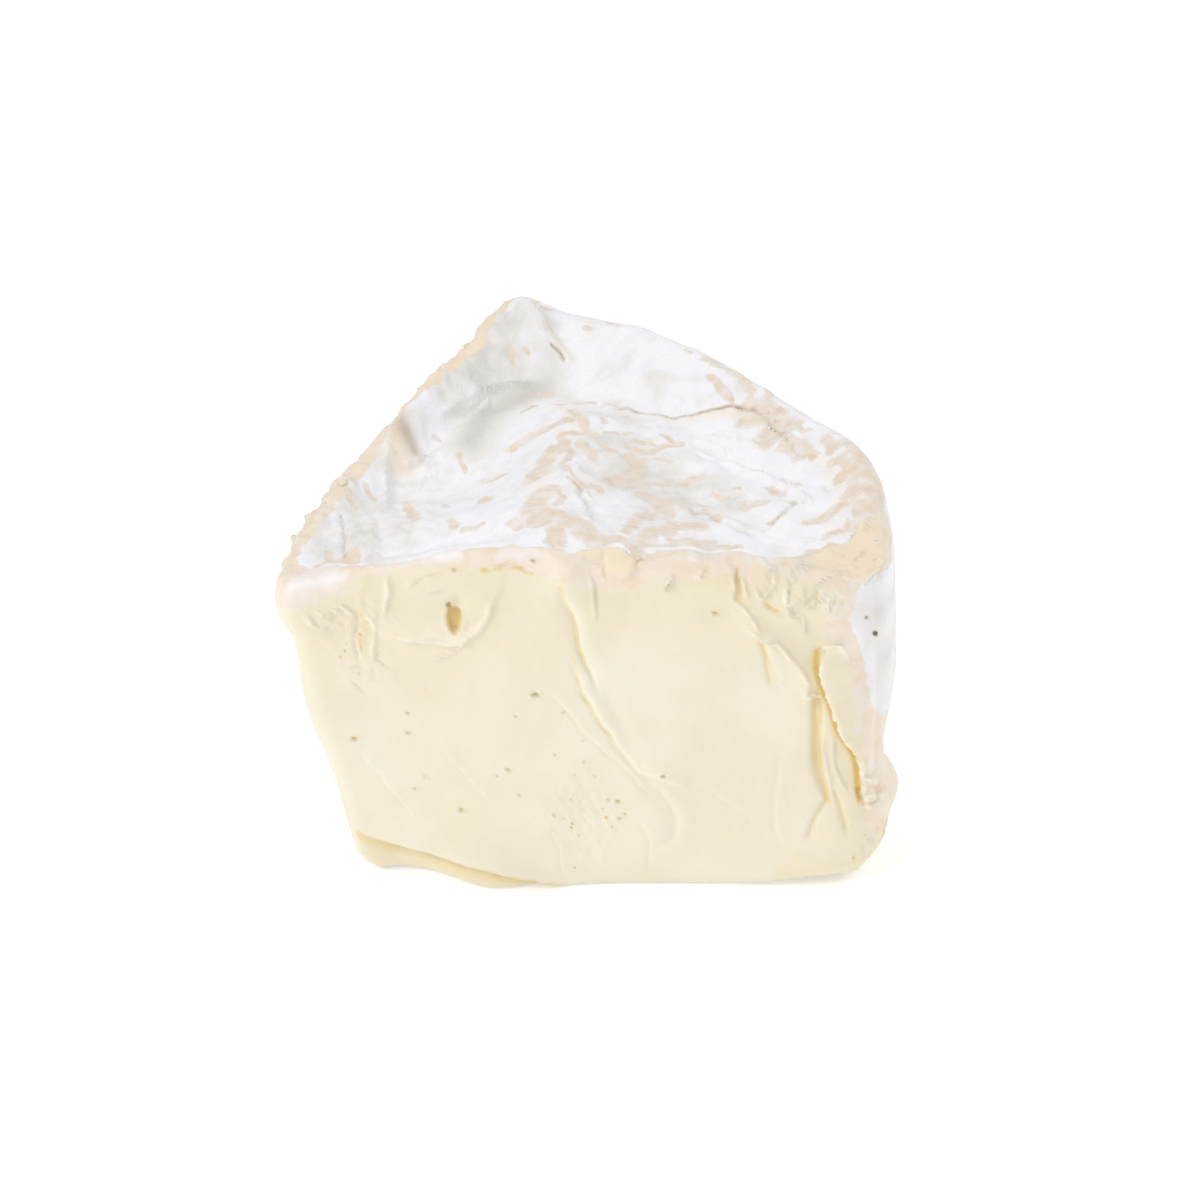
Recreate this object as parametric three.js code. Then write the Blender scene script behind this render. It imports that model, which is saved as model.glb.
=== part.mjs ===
// A wedge cut from a small soft-ripened cheese wheel with a white bloomy rind.
// Millimetres, +Z up. The front cut runs along X and faces -Y, the tip is at the
// front left, and the rind wall closes the right and the back. The origin is the
// middle of the base.
import * as THREE from "three";

// ---------------------------------------------------------------- driving sizes
const WHEEL_RADIUS = 50; // of the wheel that the wedge was cut from
const WHEEL_HEIGHT = 38.4; // resting height of an undented rim
const WHEEL_CENTRE = new THREE.Vector2(13.9, 8.5); // from the tip: the cuts meet beyond the centre
const BACK_CORNER = new THREE.Vector2(23.3, 56.2); // where the second cut meets the rind wall
const RIND_BULGE = 0.7; // how far the ripe paste pushes the rind out at mid wall

const TIP_ROUND = 2.2; // plan radius of the blunt tip
const FRONT_CORNER_ROUND = 6.5; // plan radius where the front cut meets the rind wall
const BACK_CORNER_ROUND = 2.4;
const LEFT_CUT_BULGE = 2.9; // the second cut sags outwards in plan
const LEFT_CUT_BULGE_AT = 0.28; // share of its length, from the tip

const CUT_EDGE_ROUND = 1.1; // knife-cut edges, top and bottom
const RIND_SHOULDER = 3.6; // the wheel's own rounded shoulder
const RIND_FOOT = 4.2; // and the rounding at its foot
const TIP_FOOT = 2.6; // rounding under the tip, where the base rind curls up

const CORNER_FOOT = 3.4; // and under the front corner, where the base is worn
const TIP_LEAN = new THREE.Vector2(8.2, 1.6); // the tip's base is set back under its top
const TIP_LEAN_REACH = 18;
const LOWER_LEVEL = 0.05; // below this share of the height the rim's swells don't reach
const UPPER_LEVEL = 0.9; // and above this they carry the wall in full

const BASE_MIDDLE = new THREE.Vector2(32.5, 27.7); // the origin, in plan from the tip

const RIM_COUNT = 144; // points round the outline
const FRONT_DENSITY = 1.5; // how much closer they stand along the front cut
const WALL_RINGS = 22;
const ROUNDING_RINGS = 3;
const TOP_RINGS = 18;
const BASE_RINGS = 2;

// ---------------------------------------------------------------- small helpers
const clamp01 = (t) => Math.min(1, Math.max(0, t));
const smooth = (from, to, x) => {
  const t = clamp01((x - from) / (to - from));
  return t * t * (3 - 2 * t);
};
const mix = (a, b, t) => a + (b - a) * t;
const bell = (t) => Math.exp(-t * t);
const radians = THREE.MathUtils.degToRad;

// A smooth line through a few points, as short straight steps.
const LINE_STEPS = 24;
function through(...corners) {
  const curve = new THREE.SplineCurve(corners.map(([x, y]) => new THREE.Vector2(x, y)));
  return curve.getSpacedPoints(LINE_STEPS);
}

// Nearest point of such a line: its distance, the share of the line's length reached,
// and the side (positive on the left of the line's direction).
function nearest(line, x, y) {
  let best = { distance: Infinity };
  for (let i = 0; i < LINE_STEPS; i++) {
    const [dx, dy] = [line[i + 1].x - line[i].x, line[i + 1].y - line[i].y];
    const [px, py] = [x - line[i].x, y - line[i].y];
    const t = clamp01((px * dx + py * dy) / (dx * dx + dy * dy));
    const distance = Math.hypot(px - t * dx, py - t * dy);
    if (distance < best.distance) {
      best = { distance, side: Math.sign(dx * py - dy * px) || 1, along: (i + t) / LINE_STEPS };
    }
  }
  return best;
}

const endsFade = (along) => smooth(0, 0.2, along) * smooth(1, 0.8, along);

// An elliptical swelling, or a dent where its height is negative.
function mound({ at, size, turn = 0, height }, x, y) {
  const [c, s] = [Math.cos(radians(turn)), Math.sin(radians(turn))];
  const [dx, dy] = [x - at[0], y - at[1]];
  return height * bell(Math.hypot((dx * c + dy * s) / size[0], (dy * c - dx * s) / size[1]));
}

// A ridge along a line, or a groove where its height is negative.
function ridge({ line, width, height }, x, y) {
  const { distance, along } = nearest(line, x, y);
  return height * bell(distance / width) * endsFade(along);
}

// A sharp step on the left of a line that dies away over `reach`.
const STEP_EDGE = 0.7;
function fold({ line, reach, height }, x, y) {
  const { distance, side, along } = nearest(line, x, y);
  const across = distance * side;
  const rise = smooth(-STEP_EDGE, STEP_EDGE, across) * bell(Math.max(0, across) / reach);
  return height * rise * endsFade(along);
}

const sumOf = (shape, list, x, y) => list.reduce((sum, f) => sum + shape(f, x, y), 0);

// ---------------------------------------------------------------- plan outline
const ARC_START = Math.asin((FRONT_CORNER_ROUND - WHEEL_CENTRE.y) / WHEEL_RADIUS);
const ARC_END = BACK_CORNER.clone().sub(WHEEL_CENTRE).angle() - BACK_CORNER_ROUND / WHEEL_RADIUS;
const onWheel = (angle) =>
  new THREE.Vector2(Math.cos(angle), Math.sin(angle))
    .multiplyScalar(WHEEL_RADIUS)
    .add(WHEEL_CENTRE);

function drawOutline() {
  const arcFrom = onWheel(ARC_START);
  const toTip = BACK_CORNER.clone().multiplyScalar(-1).normalize();
  const leftStart = BACK_CORNER.clone().addScaledVector(toTip, BACK_CORNER_ROUND);
  const outwards = new THREE.Vector2(toTip.y, -toTip.x);
  const leftMiddle = BACK_CORNER.clone()
    .multiplyScalar(LEFT_CUT_BULGE_AT)
    .addScaledVector(outwards, 2 * LEFT_CUT_BULGE);
  const tipSide = leftMiddle.clone().setLength(TIP_ROUND);

  const path = new THREE.Path();
  path.moveTo(TIP_ROUND, 0);
  path.lineTo(arcFrom.x - FRONT_CORNER_ROUND, 0);
  path.quadraticCurveTo(arcFrom.x, 0, arcFrom.x, arcFrom.y);
  path.absarc(WHEEL_CENTRE.x, WHEEL_CENTRE.y, WHEEL_RADIUS, ARC_START, ARC_END, false);
  path.quadraticCurveTo(BACK_CORNER.x, BACK_CORNER.y, leftStart.x, leftStart.y);
  path.quadraticCurveTo(leftMiddle.x, leftMiddle.y, tipSide.x, tipSide.y);
  path.quadraticCurveTo(0, 0, TIP_ROUND, 0);
  return path;
}

const OUTLINE = drawOutline();
const FRONT_CORNER = onWheel(ARC_START).setY(0);
const FRONT_SHARE = OUTLINE.getCurveLengths()[1] / OUTLINE.getLength();
const MIDDLE = new THREE.Vector2(31, 24);

// Share of the outline's length at a share of its points.
function shareOfLength(turn) {
  const front = (FRONT_SHARE * FRONT_DENSITY) / (FRONT_SHARE * FRONT_DENSITY + 1 - FRONT_SHARE);
  if (turn < front) return (FRONT_SHARE * turn) / front;
  return FRONT_SHARE + ((1 - FRONT_SHARE) * (turn - front)) / (1 - front);
}

// A point of the outline with its outward direction, and how far (0 to 1) it belongs
// to the rind wall, the front cut, the second cut on the left, the tip and the corner.
function rimPoint(turn) {
  const share = shareOfLength(turn);
  const at = OUTLINE.getPointAt(share);
  const tangent = OUTLINE.getTangentAt(share);
  const out = new THREE.Vector2(tangent.y, -tangent.x);
  const angle = Math.atan2(at.y - WHEEL_CENTRE.y, at.x - WHEEL_CENTRE.x);
  const outer = smooth(WHEEL_RADIUS - 5, WHEEL_RADIUS - 1, at.distanceTo(WHEEL_CENTRE));
  const alongRind = (angle - ARC_START) * WHEEL_RADIUS;
  const toBack = (ARC_END - angle) * WHEEL_RADIUS;
  const wall = outer * smooth(-6, 3, alongRind) * smooth(-1.5, 4, toBack);
  const front = smooth(0.7, 0.95, -out.y);
  const left = smooth(0.5, 0.8, -out.x);
  const fromTip = at.length();
  const tip = bell(fromTip / TIP_LEAN_REACH);
  const corner = bell(at.distanceTo(FRONT_CORNER) / (2 * FRONT_CORNER_ROUND));
  return { at, out, wall, front, left, tip, corner, fromTip, alongRind };
}

// ---------------------------------------------------------------- top relief
// All in plan, from the tip. Rim heights first: they carry the walls with them.
const RIM_SWELLS = [
  { at: [22.6, 55], size: [7, 8], height: 2.1 }, // pinched peak at the back corner
  { at: [42, 50], size: [20, 9], height: 1.5 }, // roll along the rind shoulder
  { at: [33, 55], size: [6, 6], height: 0.5 }, // saddle between the roll and the peak
  { at: [64, 21], size: [9, 12], height: 3.4 }, // swollen shoulder at the right
  { at: [26, 0], size: [15, 8], height: 2.0 }, // crown of the front edge
  { at: [0, 4], size: [11, 16], height: -1.7 }, // slumped tip
  { at: [16, 41], size: [5, 6], height: 0.7 }, // the second cut's edge, uneven
  { at: [8, 25], size: [6, 8], height: -0.7 },
  { at: [62, 3], size: [9, 9], height: -1.2 }, // slumped front corner
];
const DENTS = [
  { at: [18, 26], size: [13, 9], turn: 62, height: -4.2 }, // bowl behind the front lip
  { at: [13.2, 33], size: [3.4, 2.2], turn: 60, height: -2.8 }, // pit beside the second cut
  { at: [6, 9], size: [6, 6], height: -1.0 }, // facet by the tip
  { at: [46, 22], size: [14, 13], turn: -20, height: -1.8 }, // sunken plateau
];
const TOP_RIDGES = [
  { line: through([8, 31], [13, 37], [20, 41], [29, 43.6], [38, 42]), width: 4.2, height: -3 }, // moat
  { line: through([5, 7], [11, 5.6], [19, 6], [29, 5]), width: 3.2, height: -1.5 }, // behind the lip
  { line: through([33, 38], [31, 30], [29, 21], [28, 11], [28, -2]), width: 7.5, height: 1.6 }, // crest
  { line: through([30, 50], [40, 47], [48, 42], [55, 34], [60, 22]), width: 5, height: 1.5 }, // roll
  { line: through([22, 57], [26.4, 49], [31, 43]), width: 1.6, height: 1.8 }, // pinch below the peak
  { line: through([42, 33], [51, 24], [60, 12]), width: 3.4, height: -0.9 }, // fan trough
  { line: through([38, 31], [47, 21], [55, 9]), width: 2, height: 0.6 }, // fan rib
  { line: through([6, 13], [9, 9], [11, 2]), width: 1.6, height: 0.6 }, // edge of the tip's facet
];
// The roll along the rind stands over the plateau at this crease.
const ROLL_CREASE = through([56, 28], [51.5, 36], [48, 38.2], [43, 37], [38, 39.6], [29, 43]);
// The slope below the peak drops steeply into the moat here.
const MOAT_STEP = through([32, 41.5], [25, 42.3], [19.5, 40.2], [14, 35]);
const TOP_FOLDS = [
  { line: ROLL_CREASE, reach: 5, height: -1.2 },
  { line: MOAT_STEP, reach: 5, height: -1.4 },
];

const RIM_CLEAR = 0.9; // the dents start this far inside the outline
const RIM_FADE = 4.2;

function topHeight(x, y, inside) {
  const interior = smooth(RIM_CLEAR, RIM_CLEAR + RIM_FADE, inside);
  const relief =
    sumOf(mound, DENTS, x, y) + sumOf(ridge, TOP_RIDGES, x, y) + sumOf(fold, TOP_FOLDS, x, y);
  return WHEEL_HEIGHT + sumOf(mound, RIM_SWELLS, x, y) + interior * relief;
}

// ---------------------------------------------------------------- front cut relief
// Across (x) and up (z) on the cut; a positive height stands out of the face.
const LONG_CREASE = through([29, 37], [31, 30], [34, 23], [38.7, 12.5], [41.4, 8], [40, 3]);
const FACE_RIDGES = [
  { line: LONG_CREASE, width: 1, height: -0.4 },
  { line: through([47, 35], [50, 30.6], [54.2, 27], [55.5, 22]), width: 1.1, height: 0.8 },
  { line: through([56, 26], [56.6, 17], [56.8, 13.5], [58.4, 9]), width: 1, height: -1.6 }, // groove
  { line: through([58.4, 11], [57, 8], [55.4, 3.4]), width: 1, height: -0.8 }, // and its forks
  { line: through([57.6, 11], [59, 8], [60, 4]), width: 1, height: -0.6 },
];
const FACE_MOUNDS = [
  { at: [30, 37.4], size: [1.8, 3], height: 1.2 }, // curl of paste dragged over the edge
  { at: [50, 36], size: [9, 2.2], turn: -8, height: 0.9 }, // smeared rind under the top edge
  { at: [58, 35], size: [4, 3], height: 1.0 },
  { at: [18.4, 33.1], size: [0.9, 1.4], height: -2.2 }, // gas hole
  { at: [30, 18], size: [16, 9], height: 0.5 }, // the paste sags out a little
  { at: [18.8, -1], size: [9, 4], height: 3.6 }, // and the base rind below it
  { at: [57, 0], size: [10, 5], height: 1.3 }, // worn paste at the foot of the front corner
];
const SMEAR_EDGE = through([24, 38], [22.6, 33], [17, 29.9], [9.6, 30.6], [9, 36]);
const TEAR_EDGE = through([56, 32], [57.4, 24], [59, 19.2], [61.5, 14.9], [61.4, 8]);
const BASE_LIP = through([33, -1], [26, 1], [18.8, 3.2], [12.5, 5.1], [3, 8.6]);
const FACE_FOLDS = [
  { line: SMEAR_EDGE, reach: 4, height: -0.5 }, // paste smeared down from the top edge
  { line: TEAR_EDGE, reach: 7, height: 1.8 }, // flap of torn rind that stands proud
  { line: BASE_LIP, reach: 4, height: -1 }, // the paste overhangs the base rind
];

const frontRelief = (x, z) =>
  sumOf(ridge, FACE_RIDGES, x, z) + sumOf(mound, FACE_MOUNDS, x, z) + sumOf(fold, FACE_FOLDS, x, z);

// ---------------------------------------------------------------- other walls
// Along the wall from its front or tip end, and up.
const RIND_MOUNDS = [
  { at: [2.4, 7.4], size: [3, 2.8], height: 1.0 }, // crumpled knob at the foot of the flap
  { at: [4, 15], size: [7, 3.6], height: -4.4 }, // pinched in above it
  { at: [30, 13], size: [12, 7], height: -0.5 },
  { at: [52, 22], size: [12, 9], height: 0.5 },
];
const LEFT_RIDGES = [
  { line: through([8, 34], [15, 22], [19, 8], [18, 2]), width: 1, height: -0.4 },
  { line: through([34, 37], [38, 29], [45, 21], [47, 12]), width: 1.2, height: 0.5 },
  { line: through([22, 30], [30, 20], [40, 14], [52, 12]), width: 1, height: -0.4 },
];
const TIP_ROLLS = [
  { level: 34.4, spread: 2.6, reach: 7, height: 1.1 }, // rind rolled out at the tip
  { level: 21, spread: 6, reach: 8, height: 0.9 }, // and the paste swollen below it
];

function wallRelief(rim, z) {
  const tipRolls = TIP_ROLLS.reduce(
    (sum, roll) =>
      sum + roll.height * bell((z - roll.level) / roll.spread) * bell(rim.fromTip / roll.reach),
    0,
  );
  return (
    rim.front * frontRelief(rim.at.x, z) +
    rim.wall * sumOf(mound, RIND_MOUNDS, rim.alongRind, z) +
    rim.left * sumOf(ridge, LEFT_RIDGES, rim.fromTip, z) +
    tipRolls
  );
}

// ---------------------------------------------------------------- one surface point
const WALL_RELIEF_END = 3.5; // wall relief fades this far in over an edge

// `inset` is the rounding's distance in from the outline, `share` how far the point
// then goes on towards the middle, and `height` its level before relief.
function surfacePoint(rim, inset, share, height) {
  const level = height / WHEEL_HEIGHT;
  const bulge = rim.wall * RIND_BULGE * Math.sin(Math.PI * clamp01(level));
  const relief = smooth(WALL_RELIEF_END, 0, inset) * wallRelief(rim, height);
  const edge = rim.at.clone().addScaledVector(rim.out, relief + bulge);

  const inwards = MIDDLE.clone().sub(edge);
  const depth = -inwards.dot(rim.out);
  const inside = mix(Math.min(inset, depth), depth, share);
  const plan = edge.addScaledVector(inwards, inside / depth);
  const top = topHeight(plan.x, plan.y, inside);
  const lean = (1 - level) * bell(plan.length() / TIP_LEAN_REACH);
  plan.addScaledVector(TIP_LEAN, lean);
  const z = height * mix(1, top / WHEEL_HEIGHT, smooth(LOWER_LEVEL, UPPER_LEVEL, level));
  return new THREE.Vector3(plan.x, plan.y, z);
}

// ---------------------------------------------------------------- rings and skin
// The skin is a stack of closed rings: base centre, base, foot rounding, wall,
// shoulder rounding, top, top centre.
function ringStack() {
  const rings = [];
  const add = (share, insetAt, heightAt) => {
    const count = Math.max(9, Math.round(RIM_COUNT * (1 - share) ** 0.85));
    const ring = [];
    for (let i = 0; i < count; i++) {
      const rim = rimPoint(i / count);
      const foot =
        mix(CUT_EDGE_ROUND, RIND_FOOT, rim.wall) + TIP_FOOT * rim.tip + CORNER_FOOT * rim.corner;
      const shoulder = mix(CUT_EDGE_ROUND, RIND_SHOULDER, rim.wall);
      ring.push(surfacePoint(rim, insetAt(foot, shoulder), share, heightAt(foot, shoulder)));
    }
    rings.push(ring);
  };

  for (let k = BASE_RINGS; k >= 1; k--) {
    add(k / (BASE_RINGS + 1), (foot) => foot, () => 0);
  }
  for (let k = 0; k <= ROUNDING_RINGS; k++) {
    const turn = (Math.PI / 2) * (k / ROUNDING_RINGS);
    add(0, (foot) => foot * (1 - Math.sin(turn)), (foot) => foot * (1 - Math.cos(turn)));
  }
  for (let k = 1; k < WALL_RINGS; k++) {
    const share = k / WALL_RINGS;
    add(0, () => 0, (foot, shoulder) => mix(foot, WHEEL_HEIGHT - shoulder, share));
  }
  for (let k = 0; k <= ROUNDING_RINGS; k++) {
    const turn = (Math.PI / 2) * (k / ROUNDING_RINGS);
    add(
      0,
      (foot, shoulder) => shoulder * (1 - Math.cos(turn)),
      (foot, shoulder) => WHEEL_HEIGHT - shoulder * (1 - Math.sin(turn)),
    );
  }
  for (let k = 1; k <= TOP_RINGS; k++) {
    add(k / (TOP_RINGS + 1), (foot, shoulder) => shoulder, () => WHEEL_HEIGHT);
  }
  return rings;
}

// Triangles between two closed rings that start at the same share of the outline.
function zip(lower, upper, lowerStart, upperStart, index) {
  const [n, m] = [lower.length, upper.length];
  let [i, j] = [0, 0];
  while (i < n || j < m) {
    const a = lowerStart + (i % n);
    const b = upperStart + (j % m);
    if (j >= m || (i < n && (i + 1) / n <= (j + 1) / m)) {
      index.push(a, lowerStart + ((i + 1) % n), b);
      i++;
    } else {
      index.push(a, upperStart + ((j + 1) % m), b);
      j++;
    }
  }
}

function wedgeGeometry() {
  const rings = ringStack();
  const points = [];
  const starts = rings.map((ring) => {
    const start = points.length;
    points.push(...ring);
    return start;
  });
  const index = [];
  for (let k = 0; k + 1 < rings.length; k++) {
    zip(rings[k], rings[k + 1], starts[k], starts[k + 1], index);
  }
  const cap = (ring, start, upwards) => {
    const centre = ring.reduce((sum, p) => sum.add(p), new THREE.Vector3());
    points.push(centre.divideScalar(ring.length));
    for (let i = 0; i < ring.length; i++) {
      const pair = [start + i, start + ((i + 1) % ring.length)];
      index.push(...(upwards ? pair : pair.reverse()), points.length - 1);
    }
  };
  cap(rings[0], starts[0], false);
  cap(rings.at(-1), starts.at(-1), true);

  const geometry = new THREE.BufferGeometry().setFromPoints(points);
  geometry.setIndex(index);
  geometry.translate(-BASE_MIDDLE.x, -BASE_MIDDLE.y, 0);
  geometry.computeVertexNormals();
  return geometry;
}

// ---------------------------------------------------------------- the part
const paste = new THREE.MeshStandardMaterial({ color: 0xf1e8cd, roughness: 0.5, metalness: 0 });
const wedge = new THREE.Mesh(wedgeGeometry(), paste);
wedge.name = "cheese_wedge";

const part = new THREE.Group();
part.add(wedge);

export default part;
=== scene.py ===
"""A wedge of small soft-ripened cheese: smooth cream paste in a white bloomy rind.

Lengths are millimetres and plan places run from the wedge's tip, until a mesh is made.
Then they become metres in the part's frame: origin in the middle of the base, +X along
the front cut from the tip to the rind, +Y back, +Z up.
"""

import math

import bmesh
import bpy
import numpy as np
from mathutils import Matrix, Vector
from mathutils.bvhtree import BVHTree


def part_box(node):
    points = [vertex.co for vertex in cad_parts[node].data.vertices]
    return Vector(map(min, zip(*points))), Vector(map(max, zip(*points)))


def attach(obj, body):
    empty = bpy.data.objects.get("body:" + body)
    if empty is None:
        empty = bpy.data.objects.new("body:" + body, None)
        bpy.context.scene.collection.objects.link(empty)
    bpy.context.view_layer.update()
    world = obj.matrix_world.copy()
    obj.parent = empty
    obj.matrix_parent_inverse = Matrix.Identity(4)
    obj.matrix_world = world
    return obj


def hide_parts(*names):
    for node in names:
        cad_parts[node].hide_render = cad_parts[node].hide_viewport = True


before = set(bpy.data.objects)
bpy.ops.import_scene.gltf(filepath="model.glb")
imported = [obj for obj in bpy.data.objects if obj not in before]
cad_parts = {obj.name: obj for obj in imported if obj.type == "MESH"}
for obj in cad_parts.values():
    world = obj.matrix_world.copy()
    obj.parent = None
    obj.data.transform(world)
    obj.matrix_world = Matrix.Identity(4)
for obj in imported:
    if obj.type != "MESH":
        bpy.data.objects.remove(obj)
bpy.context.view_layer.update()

MM = 0.001
BASE_MIDDLE = np.array([32.5, 27.7, 0.0])  # the frame's origin, from the tip

# ---------------------------------------------------------------- the wedge's sizes
WHEEL_RADIUS = 50.0
WHEEL_HEIGHT = 38.4  # of an undented rim
WHEEL_CENTRE = np.array([13.9, 8.5])
BACK_CORNER = np.array([23.3, 56.2])
MIDDLE = np.array([31.0, 24.0])
RIND_BULGE = 0.7

TIP_ROUND = 2.2
FRONT_CORNER_ROUND = 6.5
BACK_CORNER_ROUND = 2.4
LEFT_CUT_BULGE = 2.9
LEFT_CUT_BULGE_AT = 0.28

CUT_EDGE_ROUND = 1.1
RIND_SHOULDER = 3.6
RIND_FOOT = 4.2
TIP_FOOT = 2.6
CORNER_FOOT = 3.4
TIP_LEAN = np.array([8.2, 1.6])
TIP_LEAN_REACH = 18.0
LOWER_LEVEL = 0.05
UPPER_LEVEL = 0.9

# How finely the skin is divided
FINE_SPACING = 0.24  # along the front cut and round the corner
MIDDLE_SPACING = 0.55  # along the second cut
COARSE_SPACING = 1.1  # along the rind wall
FINE_LENGTH = 76.0  # of the outline, from the tip
LEFT_LENGTH = 60.0  # of the second cut, back from the tip
TIP_LENGTH = 8.0  # and the last of it, round to the tip again
TOP_SPACING = 0.3
BASE_SPACING = 1.6
WALL_RINGS = 116
SHOULDER_RINGS = 7
FOOT_RINGS = 5
TOP_RINGS = 86
BASE_RINGS = 6
LEAST_RING = 24  # points round the smallest ring
FINE_FADE = 5.0  # over which the fine spacing widens
MIDDLE_FADE = 3.0

# Where a place on the outline starts to belong to the rind wall, along it from each corner,
# and to the two cuts, by how much it faces them
RIND_FROM_FRONT = (-6, 3)
RIND_FROM_BACK = (-1.5, 4)
FACES_FRONT = (0.7, 0.95)
FACES_LEFT = (0.5, 0.8)
TANGENT_STEP = 0.3  # to both sides of a place, for the outline's direction there


# ---------------------------------------------------------------- small helpers
def clamp01(t):
    return np.clip(t, 0.0, 1.0)


def smooth(start, end, x):
    t = clamp01((x - start) / (end - start))
    return t * t * (3 - 2 * t)


def mix(a, b, t):
    return a + (b - a) * t


def bell(t):
    return np.exp(-np.square(t))


LINE_STEPS = 24


def through(*corners):
    """A smooth line through a few points, as short steps of equal length."""
    p = np.array(corners, float)
    before, after = np.vstack([p[:1], p[:-2]]), np.vstack([p[2:], p[-1:]])
    start, end = p[:-1], p[1:]
    leave, arrive = (end - before) / 2, (after - start) / 2
    t = np.linspace(0, 1, LINE_STEPS, endpoint=False)[:, None, None]
    curve = (
        (2 * t**3 - 3 * t**2 + 1) * start
        + (t**3 - 2 * t**2 + t) * leave
        + (3 * t**2 - 2 * t**3) * end
        + (t**3 - t**2) * arrive
    )
    fine = np.vstack([curve.transpose(1, 0, 2).reshape(-1, 2), p[-1:]])
    reached = np.concatenate([[0], np.cumsum(np.linalg.norm(np.diff(fine, axis=0), axis=1))])
    even = np.linspace(0, reached[-1], LINE_STEPS + 1)
    return np.column_stack([np.interp(even, reached, fine[:, k]) for k in (0, 1)])


def fine_lines(*lines):
    """Lines given as three numbers and then their places, with the places drawn as one line."""
    return [(half, out, step, through(*places)) for half, out, step, *places in lines]


def nearest(line, x, y):
    """Distance to a line, the share of its length reached, and the side: + on its left."""
    best = np.full(x.shape, np.inf)
    along = np.zeros(x.shape)
    side = np.ones(x.shape)
    for i, (a, b) in enumerate(zip(line[:-1], line[1:])):
        dx, dy = b - a
        px, py = x - a[0], y - a[1]
        t = clamp01((px * dx + py * dy) / (dx * dx + dy * dy))
        distance = np.hypot(px - t * dx, py - t * dy)
        closer = distance < best
        best = np.where(closer, distance, best)
        along = np.where(closer, (i + t) / (len(line) - 1), along)
        side = np.where(closer, np.where(dx * py - dy * px < 0, -1.0, 1.0), side)
    return best, along, side


def near_line(line, x, y, reach, shape):
    """shape(distance, along, side) for the points near a line, and nothing elsewhere."""
    low, high = line.min(axis=0) - reach, line.max(axis=0) + reach
    close = (x > low[0]) & (x < high[0]) & (y > low[1]) & (y < high[1])
    result = np.zeros(x.shape)
    if close.any():
        result[close] = shape(*nearest(line, x[close], y[close]))
    return result


def ends_fade(along):
    return smooth(0, 0.2, along) * smooth(1, 0.8, along)


def beside(line, x, y, off, width, reach=8):
    """1 along a line moved `off` to its left, dying away over `width` on both sides."""
    return near_line(line, x, y, reach, lambda d, along, side: bell((d * side - off) / width))


def mound(x, y, at, size, height, turn=0.0):
    """An elliptical swelling, or a dent where its height is negative."""
    return height * bell(ellipse(x, y, at, size, turn))


def ellipse(x, y, at, size, turn=0.0):
    """Distance from an ellipse's middle, as a share of its half widths."""
    c, s = math.cos(math.radians(turn)), math.sin(math.radians(turn))
    dx, dy = x - at[0], y - at[1]
    return np.hypot((dx * c + dy * s) / size[0], (dy * c - dx * s) / size[1])


def ridge(x, y, line, width, height):
    """A ridge along a line, or a groove where its height is negative."""
    return near_line(
        line, x, y, 3 * width, lambda d, along, side: height * bell(d / width) * ends_fade(along)
    )


def fold(x, y, line, reach, height, edge=0.7):
    """A sharp step on the left of a line that dies away over `reach`."""

    def shape(d, along, side):
        across = d * side
        rise = smooth(-edge, edge, across) * bell(np.maximum(0, across) / reach)
        return height * rise * ends_fade(along)

    return near_line(line, x, y, 3 * reach, shape)


def total(shape, parts, x, y):
    return sum(shape(x, y, **part) for part in parts)


def ripple(x, y, size, seed):
    """A smooth random field, about -1 to 1, whose waves are about `size` long."""
    rng = np.random.default_rng(seed)
    waves = 14
    angle = rng.uniform(0, 2 * math.pi, waves)
    length = size * rng.uniform(0.7, 1.6, waves)
    start = rng.uniform(0, 2 * math.pi, waves)
    result = np.zeros(np.shape(x))
    for a, step, s in zip(angle, length, start):
        result = result + np.sin((x * math.cos(a) + y * math.sin(a)) * 2 * math.pi / step + s)
    return result / math.sqrt(waves)


# ---------------------------------------------------------------- plan outline
def on_wheel(angle):
    return WHEEL_CENTRE + WHEEL_RADIUS * np.array([math.cos(angle), math.sin(angle)])


def bend(start, pull, end, steps=200):
    t = np.linspace(0, 1, steps, endpoint=False)[:, None]
    return (1 - t) ** 2 * start + 2 * t * (1 - t) * pull + t**2 * end


def straight(start, end, steps=400):
    return start + np.linspace(0, 1, steps, endpoint=False)[:, None] * (end - start)


ARC_START = math.asin((FRONT_CORNER_ROUND - WHEEL_CENTRE[1]) / WHEEL_RADIUS)
ARC_END = math.atan2(*(BACK_CORNER - WHEEL_CENTRE)[::-1]) - BACK_CORNER_ROUND / WHEEL_RADIUS
FRONT_CORNER = np.array([on_wheel(ARC_START)[0], 0.0])


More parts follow.
